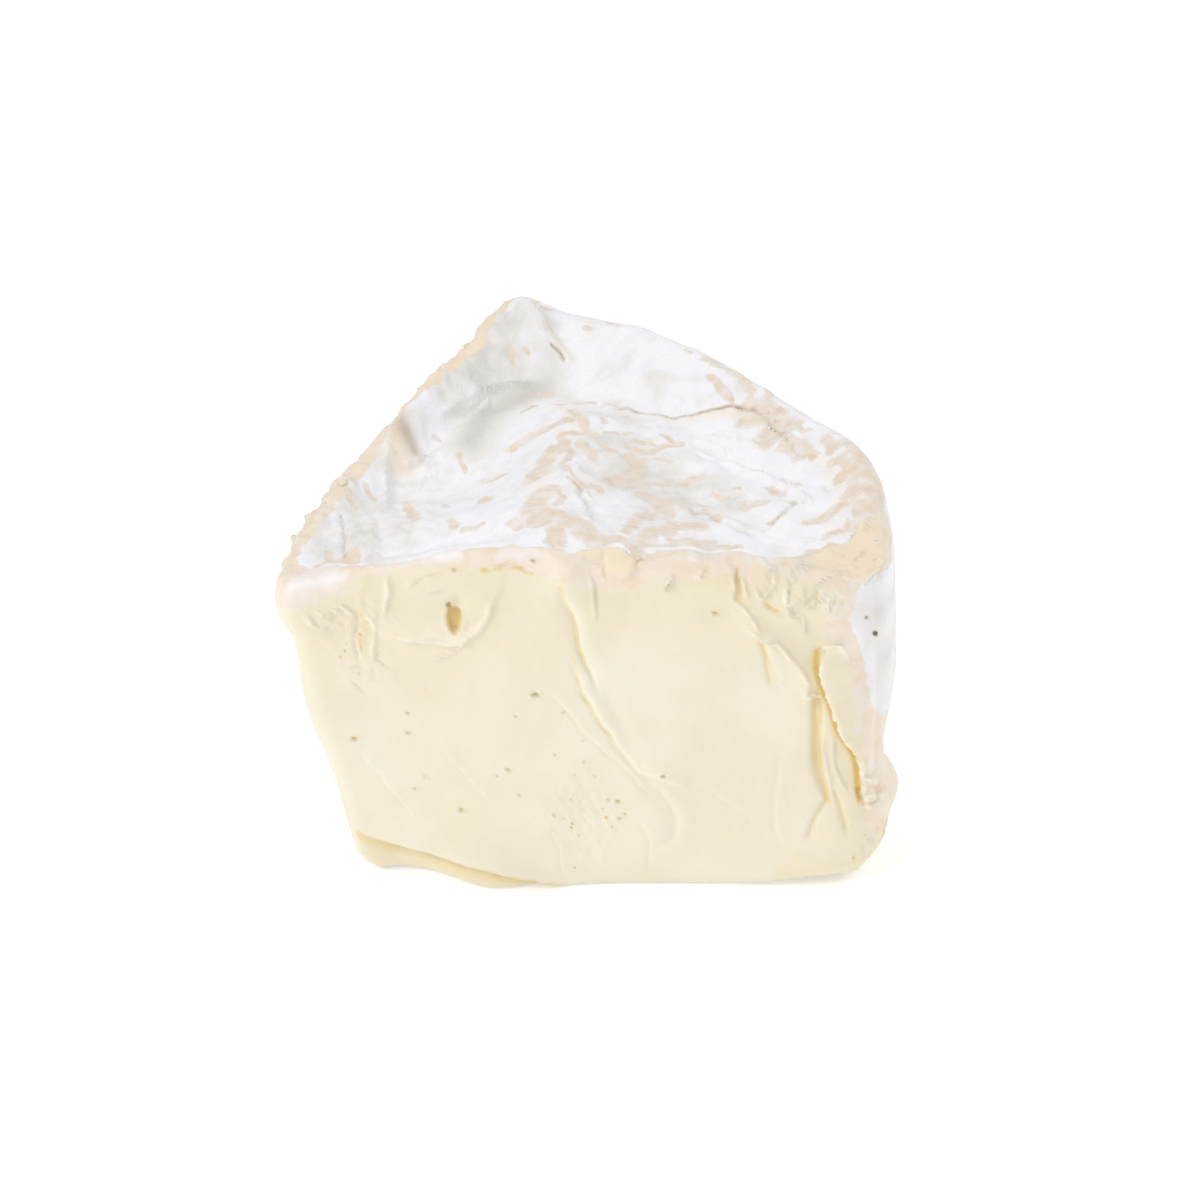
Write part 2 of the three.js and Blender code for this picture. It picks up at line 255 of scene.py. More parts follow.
def draw_outline():
    """The outline in plan, anticlockwise from the tip."""
    arc_from, arc_to = on_wheel(ARC_START), on_wheel(ARC_END)
    to_tip = -BACK_CORNER / np.linalg.norm(BACK_CORNER)
    left_start = BACK_CORNER + to_tip * BACK_CORNER_ROUND
    outwards = np.array([to_tip[1], -to_tip[0]])
    left_middle = BACK_CORNER * LEFT_CUT_BULGE_AT + outwards * 2 * LEFT_CUT_BULGE
    tip_side = left_middle / np.linalg.norm(left_middle) * TIP_ROUND
    tip_front = np.array([TIP_ROUND, 0.0])
    front_end = np.array([arc_from[0] - FRONT_CORNER_ROUND, 0.0])
    angles = np.linspace(ARC_START, ARC_END, 600, endpoint=False)
    wheel = WHEEL_CENTRE + WHEEL_RADIUS * np.column_stack([np.cos(angles), np.sin(angles)])
    return np.vstack(
        [
            straight(tip_front, front_end),
            bend(front_end, FRONT_CORNER, arc_from),
            wheel,
            bend(arc_to, BACK_CORNER, left_start),
            bend(left_start, left_middle, tip_side),
            bend(tip_side, np.zeros(2), tip_front),
            tip_front[None],
        ]
    )


OUTLINE = draw_outline()
OUTLINE_REACHED = np.concatenate(
    [[0], np.cumsum(np.linalg.norm(np.diff(OUTLINE, axis=0), axis=1))]
)
OUTLINE_LENGTH = OUTLINE_REACHED[-1]


def wall_places():
    """Lengths along the outline where the wall's points stand, close together in front."""
    to_end = OUTLINE_LENGTH - OUTLINE_REACHED
    fine = smooth(FINE_LENGTH + FINE_FADE, FINE_LENGTH, OUTLINE_REACHED)
    fine = np.maximum(fine, smooth(TIP_LENGTH + FINE_FADE, TIP_LENGTH, to_end))
    middle = smooth(LEFT_LENGTH + MIDDLE_FADE, LEFT_LENGTH, to_end)
    spacing = mix(mix(COARSE_SPACING, MIDDLE_SPACING, middle), FINE_SPACING, fine)
    steps = np.concatenate([[0], np.cumsum(np.diff(OUTLINE_REACHED) / spacing[1:])])
    even = np.linspace(0, steps[-1], int(steps[-1]), endpoint=False)
    return np.interp(even, steps, OUTLINE_REACHED)


def even_places(length, spacing):
    """Evenly spread lengths along the outline for a ring `length` long."""
    count = max(LEAST_RING, round(length / spacing))
    return np.arange(count) * OUTLINE_LENGTH / count


def rim_at(places):
    """What the skin needs to know at some lengths along the outline.

    `wall`, `front` and `left` say how far (0 to 1) a place belongs to the rind wall, the
    front cut and the second cut.
    """

    def place(s):
        wrapped = np.mod(s, OUTLINE_LENGTH)
        return np.column_stack([np.interp(wrapped, OUTLINE_REACHED, OUTLINE[:, k]) for k in (0, 1)])

    at = place(places)
    tangent = place(places + TANGENT_STEP) - place(places - TANGENT_STEP)
    tangent /= np.linalg.norm(tangent, axis=1)[:, None]
    out = np.column_stack([tangent[:, 1], -tangent[:, 0]])
    from_centre = at - WHEEL_CENTRE
    angle = np.arctan2(from_centre[:, 1], from_centre[:, 0])
    outer = smooth(WHEEL_RADIUS - 5, WHEEL_RADIUS - 1, np.linalg.norm(from_centre, axis=1))
    along_rind = (angle - ARC_START) * WHEEL_RADIUS
    to_back = (ARC_END - angle) * WHEEL_RADIUS
    from_tip = np.linalg.norm(at, axis=1)
    return {
        "x": at[:, 0],
        "y": at[:, 1],
        "out_x": out[:, 0],
        "out_y": out[:, 1],
        "wall": outer * smooth(*RIND_FROM_FRONT, along_rind) * smooth(*RIND_FROM_BACK, to_back),
        "front": smooth(*FACES_FRONT, -out[:, 1]),
        "left": smooth(*FACES_LEFT, -out[:, 0]),
        "tip": bell(from_tip / TIP_LEAN_REACH),
        "corner": bell(np.linalg.norm(at - FRONT_CORNER, axis=1) / (2 * FRONT_CORNER_ROUND)),
        "from_tip": from_tip,
        "along_rind": along_rind,
    }


WALL_PLACES = wall_places()

# ---------------------------------------------------------------- top relief
RIM_SWELLS = [
    dict(at=(22.6, 55), size=(7, 8), height=2.1),  # pinched peak at the back corner
    dict(at=(42, 50), size=(20, 9), height=1.5),  # roll along the rind shoulder
    dict(at=(33, 55), size=(6, 6), height=0.5),
    dict(at=(64, 21), size=(9, 12), height=3.4),  # swollen shoulder at the right
    dict(at=(26, 0), size=(15, 8), height=2.0),  # crown of the front edge
    dict(at=(0, 4), size=(11, 16), height=-1.7),  # slumped tip
    dict(at=(16, 41), size=(5, 6), height=0.7),
    dict(at=(8, 25), size=(6, 8), height=-0.7),
    dict(at=(62, 3), size=(9, 9), height=-1.2),
]
DENTS = [
    dict(at=(18, 26), size=(13, 9), turn=62, height=-4.2),  # bowl behind the front lip
    dict(at=(13.2, 33), size=(3.4, 2.2), turn=60, height=-2.8),  # pit beside the second cut
    dict(at=(6, 9), size=(6, 6), height=-1.0),
    dict(at=(46, 22), size=(14, 13), turn=-20, height=-1.8),  # sunken plateau
]
MOAT = through((8, 31), (13, 37), (20, 41), (29, 43.6), (38, 42))
CREST = through((33, 38), (31, 30), (29, 21), (28, 11), (28, -2))
ROLL = through((30, 50), (40, 47), (48, 42), (55, 34), (60, 22))
TOP_RIDGES = [
    dict(line=MOAT, width=4.2, height=-1.9),
    dict(line=through((5, 7), (11, 5.6), (19, 6), (29, 5)), width=3.2, height=-1.5),
    dict(line=CREST, width=7.5, height=1.6),
    dict(line=ROLL, width=5, height=1.5),
    dict(line=through((22, 57), (26.4, 49), (31, 43)), width=1.6, height=1.8),
    dict(line=through((42, 33), (51, 24), (60, 12)), width=3.4, height=-0.9),
    dict(line=through((38, 31), (47, 21), (55, 9)), width=2, height=0.6),
    dict(line=through((6, 13), (9, 9), (11, 2)), width=1.6, height=0.6),
]
ROLL_CREASE = through((56, 28), (51.5, 36), (48, 38.2), (43, 37), (38, 39.6), (29, 43))
MOAT_STEP = through((32, 41.5), (25, 42.3), (19.5, 40.2), (14, 35))
TOP_FOLDS = [
    dict(line=ROLL_CREASE, reach=5, height=-1.2),
    dict(line=MOAT_STEP, reach=5, height=-0.6, edge=1.6),
]
RIM_CLEAR = 0.9
RIM_FADE = 4.2


def top_height(x, y, inside):
    """How high the top is, where the rim keeps clear of its dents and ridges."""
    interior = smooth(RIM_CLEAR, RIM_CLEAR + RIM_FADE, inside)
    relief = total(mound, DENTS, x, y) + total(ridge, TOP_RIDGES, x, y)
    relief = relief + total(fold, TOP_FOLDS, x, y)
    return WHEEL_HEIGHT + total(mound, RIM_SWELLS, x, y) + interior * relief


# ---------------------------------------------------------------- wall relief
LONG_CREASE = through((29, 37), (31, 30), (34, 23), (38.7, 12.5), (41.4, 8), (40, 3))
GROOVE = through((56.1, 25.5), (56, 22), (56, 18), (56.2, 14.5), (56.9, 12.2), (57.8, 9.4))
TEAR_EDGE = through(
    (56.5, 33), (56.5, 28.7), (56.4, 27), (56.8, 25), (57.9, 22), (58.6, 19.5), (59.4, 18),
    (60.4, 16.2), (60.8, 14), (61, 11.6), (61.6, 8),
)  # fmt: skip
FLAP_TOP = 28.9  # the flap's upper edge, where x is FLAP_TOP_AT, and its slope
FLAP_TOP_AT = 56.2
FLAP_TOP_SLOPE = 0.35
FLAP = dict(line=TEAR_EDGE, reach=7, height=1.8, edge=0.3)
TEAR_JAG = 0.22  # the torn edge's teeth
FACE_RIDGES = [
    dict(line=LONG_CREASE, width=1, height=-0.25),
    dict(line=through((47, 35), (50, 30.6), (54.2, 27), (55.5, 22)), width=1.1, height=0.3),
    dict(line=GROOVE, width=0.5, height=-0.55),
    dict(line=through((57.6, 11.2), (56.1, 8.6), (55, 5.4)), width=0.3, height=-0.35),
    dict(line=through((57.5, 12.4), (58.5, 10.4), (58.9, 8.6), (59.5, 6)), width=0.3, height=-0.35),
]
FACE_MOUNDS = [
    dict(at=(30, 37.4), size=(1.8, 3), height=1.2),
    dict(at=(50, 36), size=(9, 2.2), turn=-8, height=0.5),
    dict(at=(58, 35), size=(4, 3), height=0.7),
    dict(at=(18.5, 32.7), size=(0.8, 1.1), height=-0.6),
    dict(at=(30, 18), size=(16, 9), height=0.5),
    dict(at=(18.8, -1), size=(9, 4), height=3.6),
    dict(at=(57, 0), size=(10, 5), height=1.3),
]
SMEAR_EDGE = through((24, 38), (22.6, 33), (17, 29.9), (9.6, 30.6), (9, 36))
BASE_LIP = through((33, -1), (27, 0.7), (20.7, 2.1), (13.2, 2.9), (5, 4.2), (0.5, 6.4))
LEANING_LIP = through((33, -1), (28, 0.9), (22.9, 2.1), (17.6, 2.9), (11.6, 4.2), (8, 6), (4, 8.2))
FACE_FOLDS = [
    dict(line=SMEAR_EDGE, reach=4, height=-0.25, edge=0.35),
    dict(line=BASE_LIP, reach=4, height=-1.1, edge=0.2),
]
RIND_MOUNDS = [
    dict(at=(2.4, 7.4), size=(3, 2.8), height=1.0),  # crumpled knob at the foot of the flap
    dict(at=(4, 15), size=(7, 3.6), height=-4.4),  # pinched in above it
    dict(at=(16, 7), size=(9, 6), height=-1.5),
    dict(at=(9, 11.5), size=(4, 4.5), height=-1.2),
    dict(at=(30, 13), size=(12, 7), height=-0.5),
    dict(at=(52, 22), size=(12, 9), height=0.5),
]
LEFT_RIDGES = [
    dict(line=through((8, 34), (15, 22), (19, 8), (18, 2)), width=1, height=-0.4),
    dict(line=through((34, 37), (38, 29), (45, 21), (47, 12)), width=1.2, height=0.5),
    dict(line=through((22, 30), (30, 20), (40, 14), (52, 12)), width=1, height=-0.4),
]
TIP_ROLLS = [
    dict(level=34.4, spread=2.6, reach=7, height=1.1),  # rind rolled out at the tip
    dict(level=21, spread=6, reach=8, height=0.9),  # and the paste swollen below it
]
WALL_RELIEF_END = 3.5


def wall_relief(rim, z):
    """How far the main forms of the walls stand out."""
    x = rim["x"]
    torn = x + TEAR_JAG * ripple(x, z, 1.6, 31) * bell((x - 58) / 4)
    flap_top = FLAP_TOP + FLAP_TOP_SLOPE * (x - FLAP_TOP_AT)
    flap_end = mix(1, smooth(0.5, -0.3, z - flap_top), smooth(61, 58.5, x))
    face = (
        total(ridge, FACE_RIDGES, x, z)
        + total(mound, FACE_MOUNDS, x, z)
        + total(fold, FACE_FOLDS, x, z)
        + fold(torn, z, **FLAP) * flap_end
    )
    tip_rolls = sum(
        r["height"] * bell((z - r["level"]) / r["spread"]) * bell(rim["from_tip"] / r["reach"])
        for r in TIP_ROLLS
    )
    return (
        rim["front"] * face
        + rim["wall"] * total(mound, RIND_MOUNDS, rim["along_rind"], z)
        + rim["left"] * total(ridge, LEFT_RIDGES, rim["from_tip"], z)
        + tip_rolls
    )


# ---------------------------------------------------------------- rings of the skin
def ring(places, share, crown, inset_at, height_at):
    """One ring, its inset and height worked out from the rounding of the lower and upper edge."""
    rim = rim_at(places)
    foot = mix(CUT_EDGE_ROUND, RIND_FOOT, rim["wall"])
    foot = foot + TIP_FOOT * rim["tip"] + CORNER_FOOT * rim["corner"]
    shoulder = mix(CUT_EDGE_ROUND, RIND_SHOULDER, rim["wall"])
    return dict(
        places=places,
        rim=rim,
        inset=inset_at(foot, shoulder),
        share=np.full(len(places), share),
        height=height_at(foot, shoulder),
        crown=np.full(len(places), crown),
    )


def quarter_turn(share):
    return math.sin(math.pi / 2 * share), math.cos(math.pi / 2 * share)


def ring_list():
    """Rings from the middle of the base, up the walls and in to the middle of the top.

    A ring's share is how far in it lies, and its crown is 0 on the walls, 1 on the top and
    -1 on the base.
    """
    rings = []
    for k in range(BASE_RINGS, 0, -1):
        share = k / (BASE_RINGS + 1)
        places = even_places(OUTLINE_LENGTH * (1 - share), BASE_SPACING)
        rings.append(ring(places, share, -1.0, lambda f, s: f, lambda f, s: 0 * f))
    for k in range(FOOT_RINGS + 1):
        sin, cos = quarter_turn(k / FOOT_RINGS)
        inset, height = lambda f, s: f * (1 - sin), lambda f, s: f * (1 - cos)
        rings.append(ring(WALL_PLACES, 0, sin - 1, inset, height))
    for k in range(1, WALL_RINGS):
        height = lambda f, s: mix(f, WHEEL_HEIGHT - s, k / WALL_RINGS)
        rings.append(ring(WALL_PLACES, 0, 0.0, lambda f, s: 0 * f, height))
    for k in range(SHOULDER_RINGS + 1):
        sin, cos = quarter_turn(k / SHOULDER_RINGS)
        inset, height = lambda f, s: s * (1 - cos), lambda f, s: WHEEL_HEIGHT - s * (1 - sin)
        rings.append(ring(WALL_PLACES, 0, 1 - cos, inset, height))
    for k in range(1, TOP_RINGS + 1):
        share = k / (TOP_RINGS + 1)
        places = even_places(OUTLINE_LENGTH * (1 - share), TOP_SPACING)
        rings.append(ring(places, share, 1.0, lambda f, s: s, lambda f, s: WHEEL_HEIGHT + 0 * s))
    return rings


def skin_points(rings):
    """Every point of the skin with the wedge's main forms, and what is known about it."""
    known = {k: np.concatenate([r["rim"][k] for r in rings]) for k in rings[0]["rim"]}
    for k in ("inset", "share", "height", "crown"):
        known[k] = np.concatenate([r[k] for r in rings])
    out = np.column_stack([known["out_x"], known["out_y"]])
    level = known["height"] / WHEEL_HEIGHT
    bulge = known["wall"] * RIND_BULGE * np.sin(math.pi * clamp01(level))
    relief = smooth(WALL_RELIEF_END, 0, known["inset"]) * wall_relief(known, known["height"])
    edge = np.column_stack([known["x"], known["y"]]) + out * (relief + bulge)[:, None]
    inwards = MIDDLE - edge
    depth = -(inwards * out).sum(axis=1)
    inside = mix(np.minimum(known["inset"], depth), depth, known["share"])
    plan = edge + inwards * (inside / depth)[:, None]
    top = top_height(plan[:, 0], plan[:, 1], inside)
    lean = (1 - level) * bell(np.linalg.norm(plan, axis=1) / TIP_LEAN_REACH)
    plan = plan + TIP_LEAN * lean[:, None]
    z = known["height"] * mix(1, top / WHEEL_HEIGHT, smooth(LOWER_LEVEL, UPPER_LEVEL, level))
    known["inside"] = inside
    known["below"] = top - z
    return np.column_stack([plan, z]), known


def zip_rings(one, two, lower, upper):
    """Triangles between two closed rings, from their points' places round the outline."""
    ends_one = np.append(one[1:], OUTLINE_LENGTH).tolist()
    ends_two = np.append(two[1:], OUTLINE_LENGTH).tolist()
    n, m = len(one), len(two)
    faces = []
    i = j = 0
    while i < n or j < m:
        a, b = lower + i % n, upper + j % m
        if j >= m or (i < n and ends_one[i] <= ends_two[j]):
            faces.append((a, lower + (i + 1) % n, b))
            i += 1
        else:
            faces.append((a, upper + (j + 1) % m, b))
            j += 1
    return faces


def skin_faces(rings):
    """Triangles between all neighbouring rings, and over the middles of base and top."""
    faces = []
    start = 0
    for one, two in zip(rings[:-1], rings[1:]):
        n = len(one["places"])
        faces += zip_rings(one["places"], two["places"], start, start + n)
        start += n
    first, last = len(rings[0]["places"]), len(rings[-1]["places"])
    faces += [(i, 0, i + 1) for i in range(1, first - 1)]
    faces += [(start, start + i, start + i + 1) for i in range(1, last - 1)]
    return np.array(faces)


def corner_normals(points, faces):
    a, b, c = (points[faces[:, k]] for k in range(3))
    across = np.cross(b - a, c - a)
    normals = np.zeros_like(points)
    for k in range(3):
        np.add.at(normals, faces[:, k], across)
    return normals / np.maximum(np.linalg.norm(normals, axis=1), 1e-9)[:, None]


# ---------------------------------------------------------------- fine relief of the cut
# Across and up on the front cut, as it is seen. Each line has its half width first, then
# how far it stands out (in, where negative), then the step up on its left, then places.
FACE_LINES = fine_lines(
    # the long crease, in two parts that pass each other
    (0.3, -0.35, 0.3, (28.6, 37), (30, 34), (30.8, 32.5), (31.4, 29), (32.5, 26.2), (33.4, 23)),
    (0.28, -0.3, 0.3, (30.5, 29), (30.7, 26.8), (31.7, 24), (33.5, 20.4), (36.1, 16.1), (38, 13.4)),
    (0.28, -0.2, 0.2, (36.5, 14.8), (38.2, 13.5), (39.8, 12.9), (42.9, 11.8)),
    (0.3, -0.2, 0.16, (39.6, 13.1), (40.1, 11.2), (41.6, 8.3), (41.1, 5.9), (39.8, 5.1), (39, 3.6)),
    (0.25, -0.12, 0.1, (43.6, 12.4), (46.8, 10.3), (50, 7.9)),
    (0.22, -0.2, 0.14, (26.8, 24.2), (29.3, 22.7), (31.4, 19.4), (36.1, 14.5), (39.5, 10.2)),
    (0.25, -0.2, 0.1, (37.6, 8), (38.5, 5.7), (38.8, 2.5)),
    (0.22, -0.2, 0.1, (29.2, 5.2), (29.4, 1.4)),
    (0.22, -0.1, 0.08, (16.1, 17.8), (19.4, 13.4), (22.7, 9.3)),
    (0.22, -0.1, 0.08, (8.3, 16.5), (11.4, 11.6), (14.4, 7.3)),
    (0.3, -0.14, 0.1, (53, 17), (52.3, 15), (51.6, 8.8), (52.1, 6.5), (52.6, 4.6)),
    (0.4, -0.16, 0.2, (49.8, 31.4), (50.7, 28.4), (51.9, 25.2), (52.7, 24)),
    # smears and swirls under the top edge near the tip
    (0.3, 0.4, 0, (11.8, 38), (11.5, 35), (11.1, 32.6)),
    (0.3, 0.35, 0.2, (11, 30.4), (14.7, 29.6), (16.5, 29.9), (18.2, 29.4), (21.1, 31.2), (23, 36)),
    (0.22, 0.35, 0, (2.9, 33.9), (3.6, 32.5), (4.6, 31.6), (5.6, 32)),
    (0.22, 0.35, 0, (4, 34), (5.2, 33.3), (6.3, 33.8), (7.2, 34.2), (8.1, 32.8)),
    (0.25, -0.35, 0.1, (8.1, 34.6), (8.4, 32.3), (8.2, 30), (8.6, 26.6)),
    (0.22, 0.3, 0, (9.5, 33.2), (10.3, 31), (9.8, 28.5), (9.9, 27)),
    (0.2, 0.25, 0, (20.4, 30.6), (17.8, 28.2), (15.6, 27)),
    (0.2, -0.3, 0.1, (13.6, 35.7), (15.5, 37.5), (18.4, 38.3)),
    (0.2, -0.3, 0.1, (15.6, 35.4), (18, 36)),
    # a star of scratches below them
    (0.18, -0.3, 0, (9.7, 27.7), (12.1, 26.3)),
    (0.18, -0.25, 0, (9.6, 27.6), (11, 28.4)),
    (0.18, -0.25, 0, (9.8, 26.6), (10.4, 24.8)),
    (0.18, -0.25, 0, (7.8, 25.2), (9, 23.5)),
    (0.18, -0.25, 0, (7.6, 26.3), (8.9, 26.7)),
    (0.25, 0.4, 0, (39.8, 36), (40.9, 37.8)),
    (0.22, -0.4, 0, (21.3, 38.4), (23.2, 38.8), (24.3, 38.9), (26.5, 38)),
)
PORES = [  # across, up, half width
    (26.8, 23.6, 0.4), (19, 9.1, 0.3), (23.9, 14.4, 0.26), (7.9, 18, 0.34), (13.5, 18.6, 0.2),
    (15.2, 13.1, 0.2), (14.1, 11.7, 0.2), (22.8, 13.6, 0.16), (25.1, 11.2, 0.18), (28.7, 8.7, 0.2),
    (45.4, 33.2, 0.32), (40.1, 13.8, 0.3), (35.4, 10.5, 0.3), (35.6, 8.5, 0.24), (29.6, 21.6, 0.2),
    (24.8, 20.9, 0.18), (31.8, 18.2, 0.18), (13.5, 21, 0.2), (28.4, 7.1, 0.2), (18.5, 38.3, 0.28),
    (26.6, 39.5, 0.26),
]  # fmt: skip
PORE_LIP = 0.12
GAS_HOLE = [  # a pear-shaped bubble cut open: middle, half widths
    ((18.4, 32.9), (0.72, 0.75)),
    ((18.4, 32.1), (0.6, 0.9)),
    ((18.5, 31.4), (0.45, 0.7)),
    ((18.0, 34.0), (0.25, 0.3)),
]
GAS_HOLE_DEPTH = 0.75
GAS_HOLE_LIP = dict(at=(18.5, 32.4), size=(0.62, 1.2), height=0.16)
FACE_LINE_HEIGHT = 1.15


def pit(x, y, at, size, depth):
    """A small steep-walled hole."""
    return -depth * smooth(1.25, 0.7, ellipse(x, y, at, size))


def rim_of(x, y, at, size, height):
    """The lip raised round a small hole."""
    return height * bell((ellipse(x, y, at, size) - 1.5) / 0.35)


def pore_relief(x, y, pores, lip=0.0):
    """Small holes, a little wider than high, each with its lip raised."""
    relief = np.zeros(x.shape)
    for across, up, half in pores:
        size = (half, 0.75 * half)
        relief += pit(x, y, (across, up), size, 0.55 * half) + rim_of(x, y, (across, up), size, lip)
    return relief


CREASE_SHARE = 0.6  # creases are kept shallower than the ridges are high
LINE_WIDTH = 0.85


def line_relief(lines, x, y, fray, width=LINE_WIDTH):
    """Ridges, creases and steps, where `fray` is how far their courses wander."""
    relief = np.zeros(x.shape)
    wander = fray * ripple(x, y, 3, 41), fray * ripple(x, y, 3, 42)
    for half, out, step, line in lines:
        if out:
            height = out if out > 0 else CREASE_SHARE * out
            relief += ridge(x + wander[0], y + wander[1], line, width * half, height)
        if step:
            relief += fold(x + wander[0], y + wander[1], line, 1.6, step, edge=0.2)
    return relief


# The second cut is hidden behind the first, and has the same kinds of marks along it and up
LEFT_LINES = fine_lines(
    (0.45, -0.4, 0.3, (12, 33), (16, 26), (18, 19), (24, 12)),
    (0.4, 0.4, 0, (30, 34), (33, 29), (38, 27), (44, 30)),
    (0.4, -0.3, 0.25, (46, 31), (44, 22), (47, 15), (52, 10)),
    (0.4, -0.25, 0.15, (26, 22), (33, 17), (40, 15)),
    (0.4, 0.35, 0, (8, 12), (14, 9), (20, 10)),
    (0.4, 0.35, 0.1, (50, 33), (53, 28), (56, 27)),
    (0.4, -0.25, 0.1, (20, 31), (24, 28), (30, 27.5)),
)
left_places = np.random.default_rng(17)
LEFT_CRUMBLY = [
    dict(at=(36, 9), size=(7, 6), height=0.12),
    dict(at=(12, 30), size=(5, 4), height=0.1),
]
LEFT_PORES = [left_places.uniform((8, 4, 0.35), (56, 32, 0.7)) for _ in range(20)]


def left_details(along, up):
    """How far the second cut's fine relief stands out."""
    relief = line_relief(LEFT_LINES, along, up, 0.2, 1.6) + pore_relief(along, up, LEFT_PORES)
    crumbly = total(mound, LEFT_CRUMBLY, along, up)
    return relief + crumbly * ripple(along, up, 1.9, 49)


def face_details(x, z):
    """How far the front cut's fine relief stands out."""
    relief = FACE_LINE_HEIGHT * line_relief(FACE_LINES, x, z, 0.12)
    relief += pore_relief(x, z, PORES, PORE_LIP)
    relief += rim_of(x, z, **GAS_HOLE_LIP)
    hole = [pit(x, z, at, size, GAS_HOLE_DEPTH) for at, size in GAS_HOLE]
    return relief + np.minimum.reduce(hole)


# ---------------------------------------------------------------- relief over the front edge
# The same kind of lines, across and up as they are seen from in front and above.
SEEN_SLOPE = 0.577  # of a view 30 degrees down


def seen_height(y, z):
    """How high a place is seen from in front: the further back it lies, the higher."""
    return z + SEEN_SLOPE * y


def torn_corner(x, y):
    """1 at the front corner of the rind, where the knife has torn it."""
    return smooth(54, 57, x) * smooth(9, 6, y)


SEEN_LINES = fine_lines(
    # the wedge-shaped gap in the rind and the lips beside it
    (0.3, -0.45, 0, (47.6, 39.3), (47.7, 37.2), (47.8, 34.9)),
    (0.2, 0.4, 0, (47, 39.3), (47.2, 37.2), (47.2, 35), (47.5, 34.1)),
    (0.2, 0.4, 0, (48, 38.6), (48.2, 36.9), (48.8, 34.9)),
    # beads of paste pushed up by the knife
    (0.2, 0.4, 0.1, (47.2, 34.8), (48.7, 33.4), (49.4, 31.9), (49.9, 30.8)),
    (0.22, 0.5, 0.12, (47.9, 30.9), (49.1, 31), (50.5, 30), (51.8, 29.7),
     (53, 28.2), (54.1, 26.7), (54.9, 25.3), (55.2, 23.8)),
    (0.3, -0.25, 0, (49.7, 30.5), (50.4, 28.6), (50.8, 26.2), (51.5, 24.1)),
    (0.25, 0.45, 0, (54.9, 24.6), (55, 23), (55.9, 23.5), (57, 23)),
    # curls of paste under the right half of the top edge
    (0.22, 0.5, 0, (49.3, 36.5), (49.7, 35.5), (50.3, 35),
     (50.9, 35.8), (51.3, 36.8), (51.7, 38.6), (52.2, 39.3)),
    (0.25, -0.4, 0, (50.4, 34.7), (51.2, 33.7), (52.3, 33)),
    (0.22, 0.6, 0, (52.9, 37.1), (52.6, 35.3), (52.8, 33.8), (53.5, 33), (54.6, 33.3)),
    (0.3, 0.5, 0, (52.8, 34.3), (54, 35.2)),
    (0.15, 0.35, 0, (54.4, 33.1), (54.7, 30.8)),
    (0.2, 0.4, 0, (53.9, 34.1), (55.3, 35.8), (56.6, 37.2), (58, 37.9), (59.4, 38.9)),
    (0.18, 0.35, 0, (54.4, 33.7), (56.3, 34.8), (57.9, 35.4)),
    (0.2, 0.3, 0, (56.8, 33), (57.1, 34.3), (57.7, 35.2)),
    (0.2, 0.3, 0, (57.4, 32.8), (57.9, 34), (58.5, 34.9)),
    (0.2, -0.2, 0, (55.7, 33.1), (55.8, 34.8), (56.2, 36)),
    (0.2, 0.35, 0, (54.2, 39.6), (53.7, 38.1), (53.2, 36.7)),
    (0.2, 0.3, 0, (55.4, 39.8), (54.7, 37.9)),
    (0.25, 0.4, 0, (62.9, 39.9), (61.7, 37.9), (60.2, 36)),
    (0.2, -0.3, 0, (59, 37.3), (60.9, 38.1), (62.5, 39.5)),
    (0.2, -0.35, 0, (58.8, 38.9), (59.8, 39.6), (60.7, 40.5), (61.1, 41.4)),
    (0.2, 0.3, 0, (59.2, 38.4), (60.2, 39.5), (61.2, 40.5)),
    (0.18, 0.4, 0, (40, 36), (40.4, 36.7), (40.8, 37.9)),
    (0.18, 0.3, 0, (43.5, 37.3), (44.5, 38.5)),
    # the lobe of paste over the edge, and the pits beside it
    (0.18, -0.5, 0, (33.8, 41), (33.9, 39), (34.3, 36.7)),
    (0.2, -0.35, 0, (31.5, 39.7), (33.1, 39.2), (34, 38.4)),
    (0.22, -0.5, 0, (38.4, 40.2), (37.5, 39.6), (36.9, 38.6)),
    (0.2, -0.3, 0, (37.2, 38.4), (38.2, 38.3)),
    (0.2, -0.5, 0, (35.9, 40.2), (36.5, 39.8)),
    (0.18, -0.15, 0, (32.9, 36.8), (33.1, 34.8), (33.1, 31.9)),
    (0.15, 0.3, 0, (32.1, 38.1), (32.7, 36.7), (32.8, 34.8), (32.9, 31.9)),
    # the torn flap's upper edge, and the strip beside it
    (0.2, 0.3, 0.2, (59.3, 27.4), (58.9, 28.6), (58, 29.4), (56.3, 29.4)),
    (0.2, 0.35, 0, (57.7, 19), (57.8, 16.3), (58.1, 14.3), (58.8, 12.4), (59.4, 11.1)),
    (0.2, 0.3, 0, (56.5, 18.7), (56.9, 15.7), (57.4, 13.1), (58, 10.3)),
    # folds of the crumpled knob
    (0.2, 0.45, 0, (60.7, 12.8), (61.4, 13.5), (62.1, 13.1), (62.4, 12.2)),
    (0.2, 0.45, 0, (60.6, 12.2), (61.3, 12.3), (62, 11.4), (61.6, 11)),
    (0.2, 0.45, 0, (60.9, 11.2), (61.8, 10.8), (62.7, 11.3), (63.1, 12.2)),
    (0.22, 0.45, 0, (60.9, 9.9), (61.9, 9.9), (63, 10.5)),
    (0.3, -0.6, 0, (60.4, 12.4), (60.8, 11), (61.4, 10.1)),
    (0.2, -0.4, 0, (61.1, 12.8), (61.6, 12.9), (61.9, 12.2)),
)  # fmt: skip
SEEN_LINE_HEIGHT = 1.1
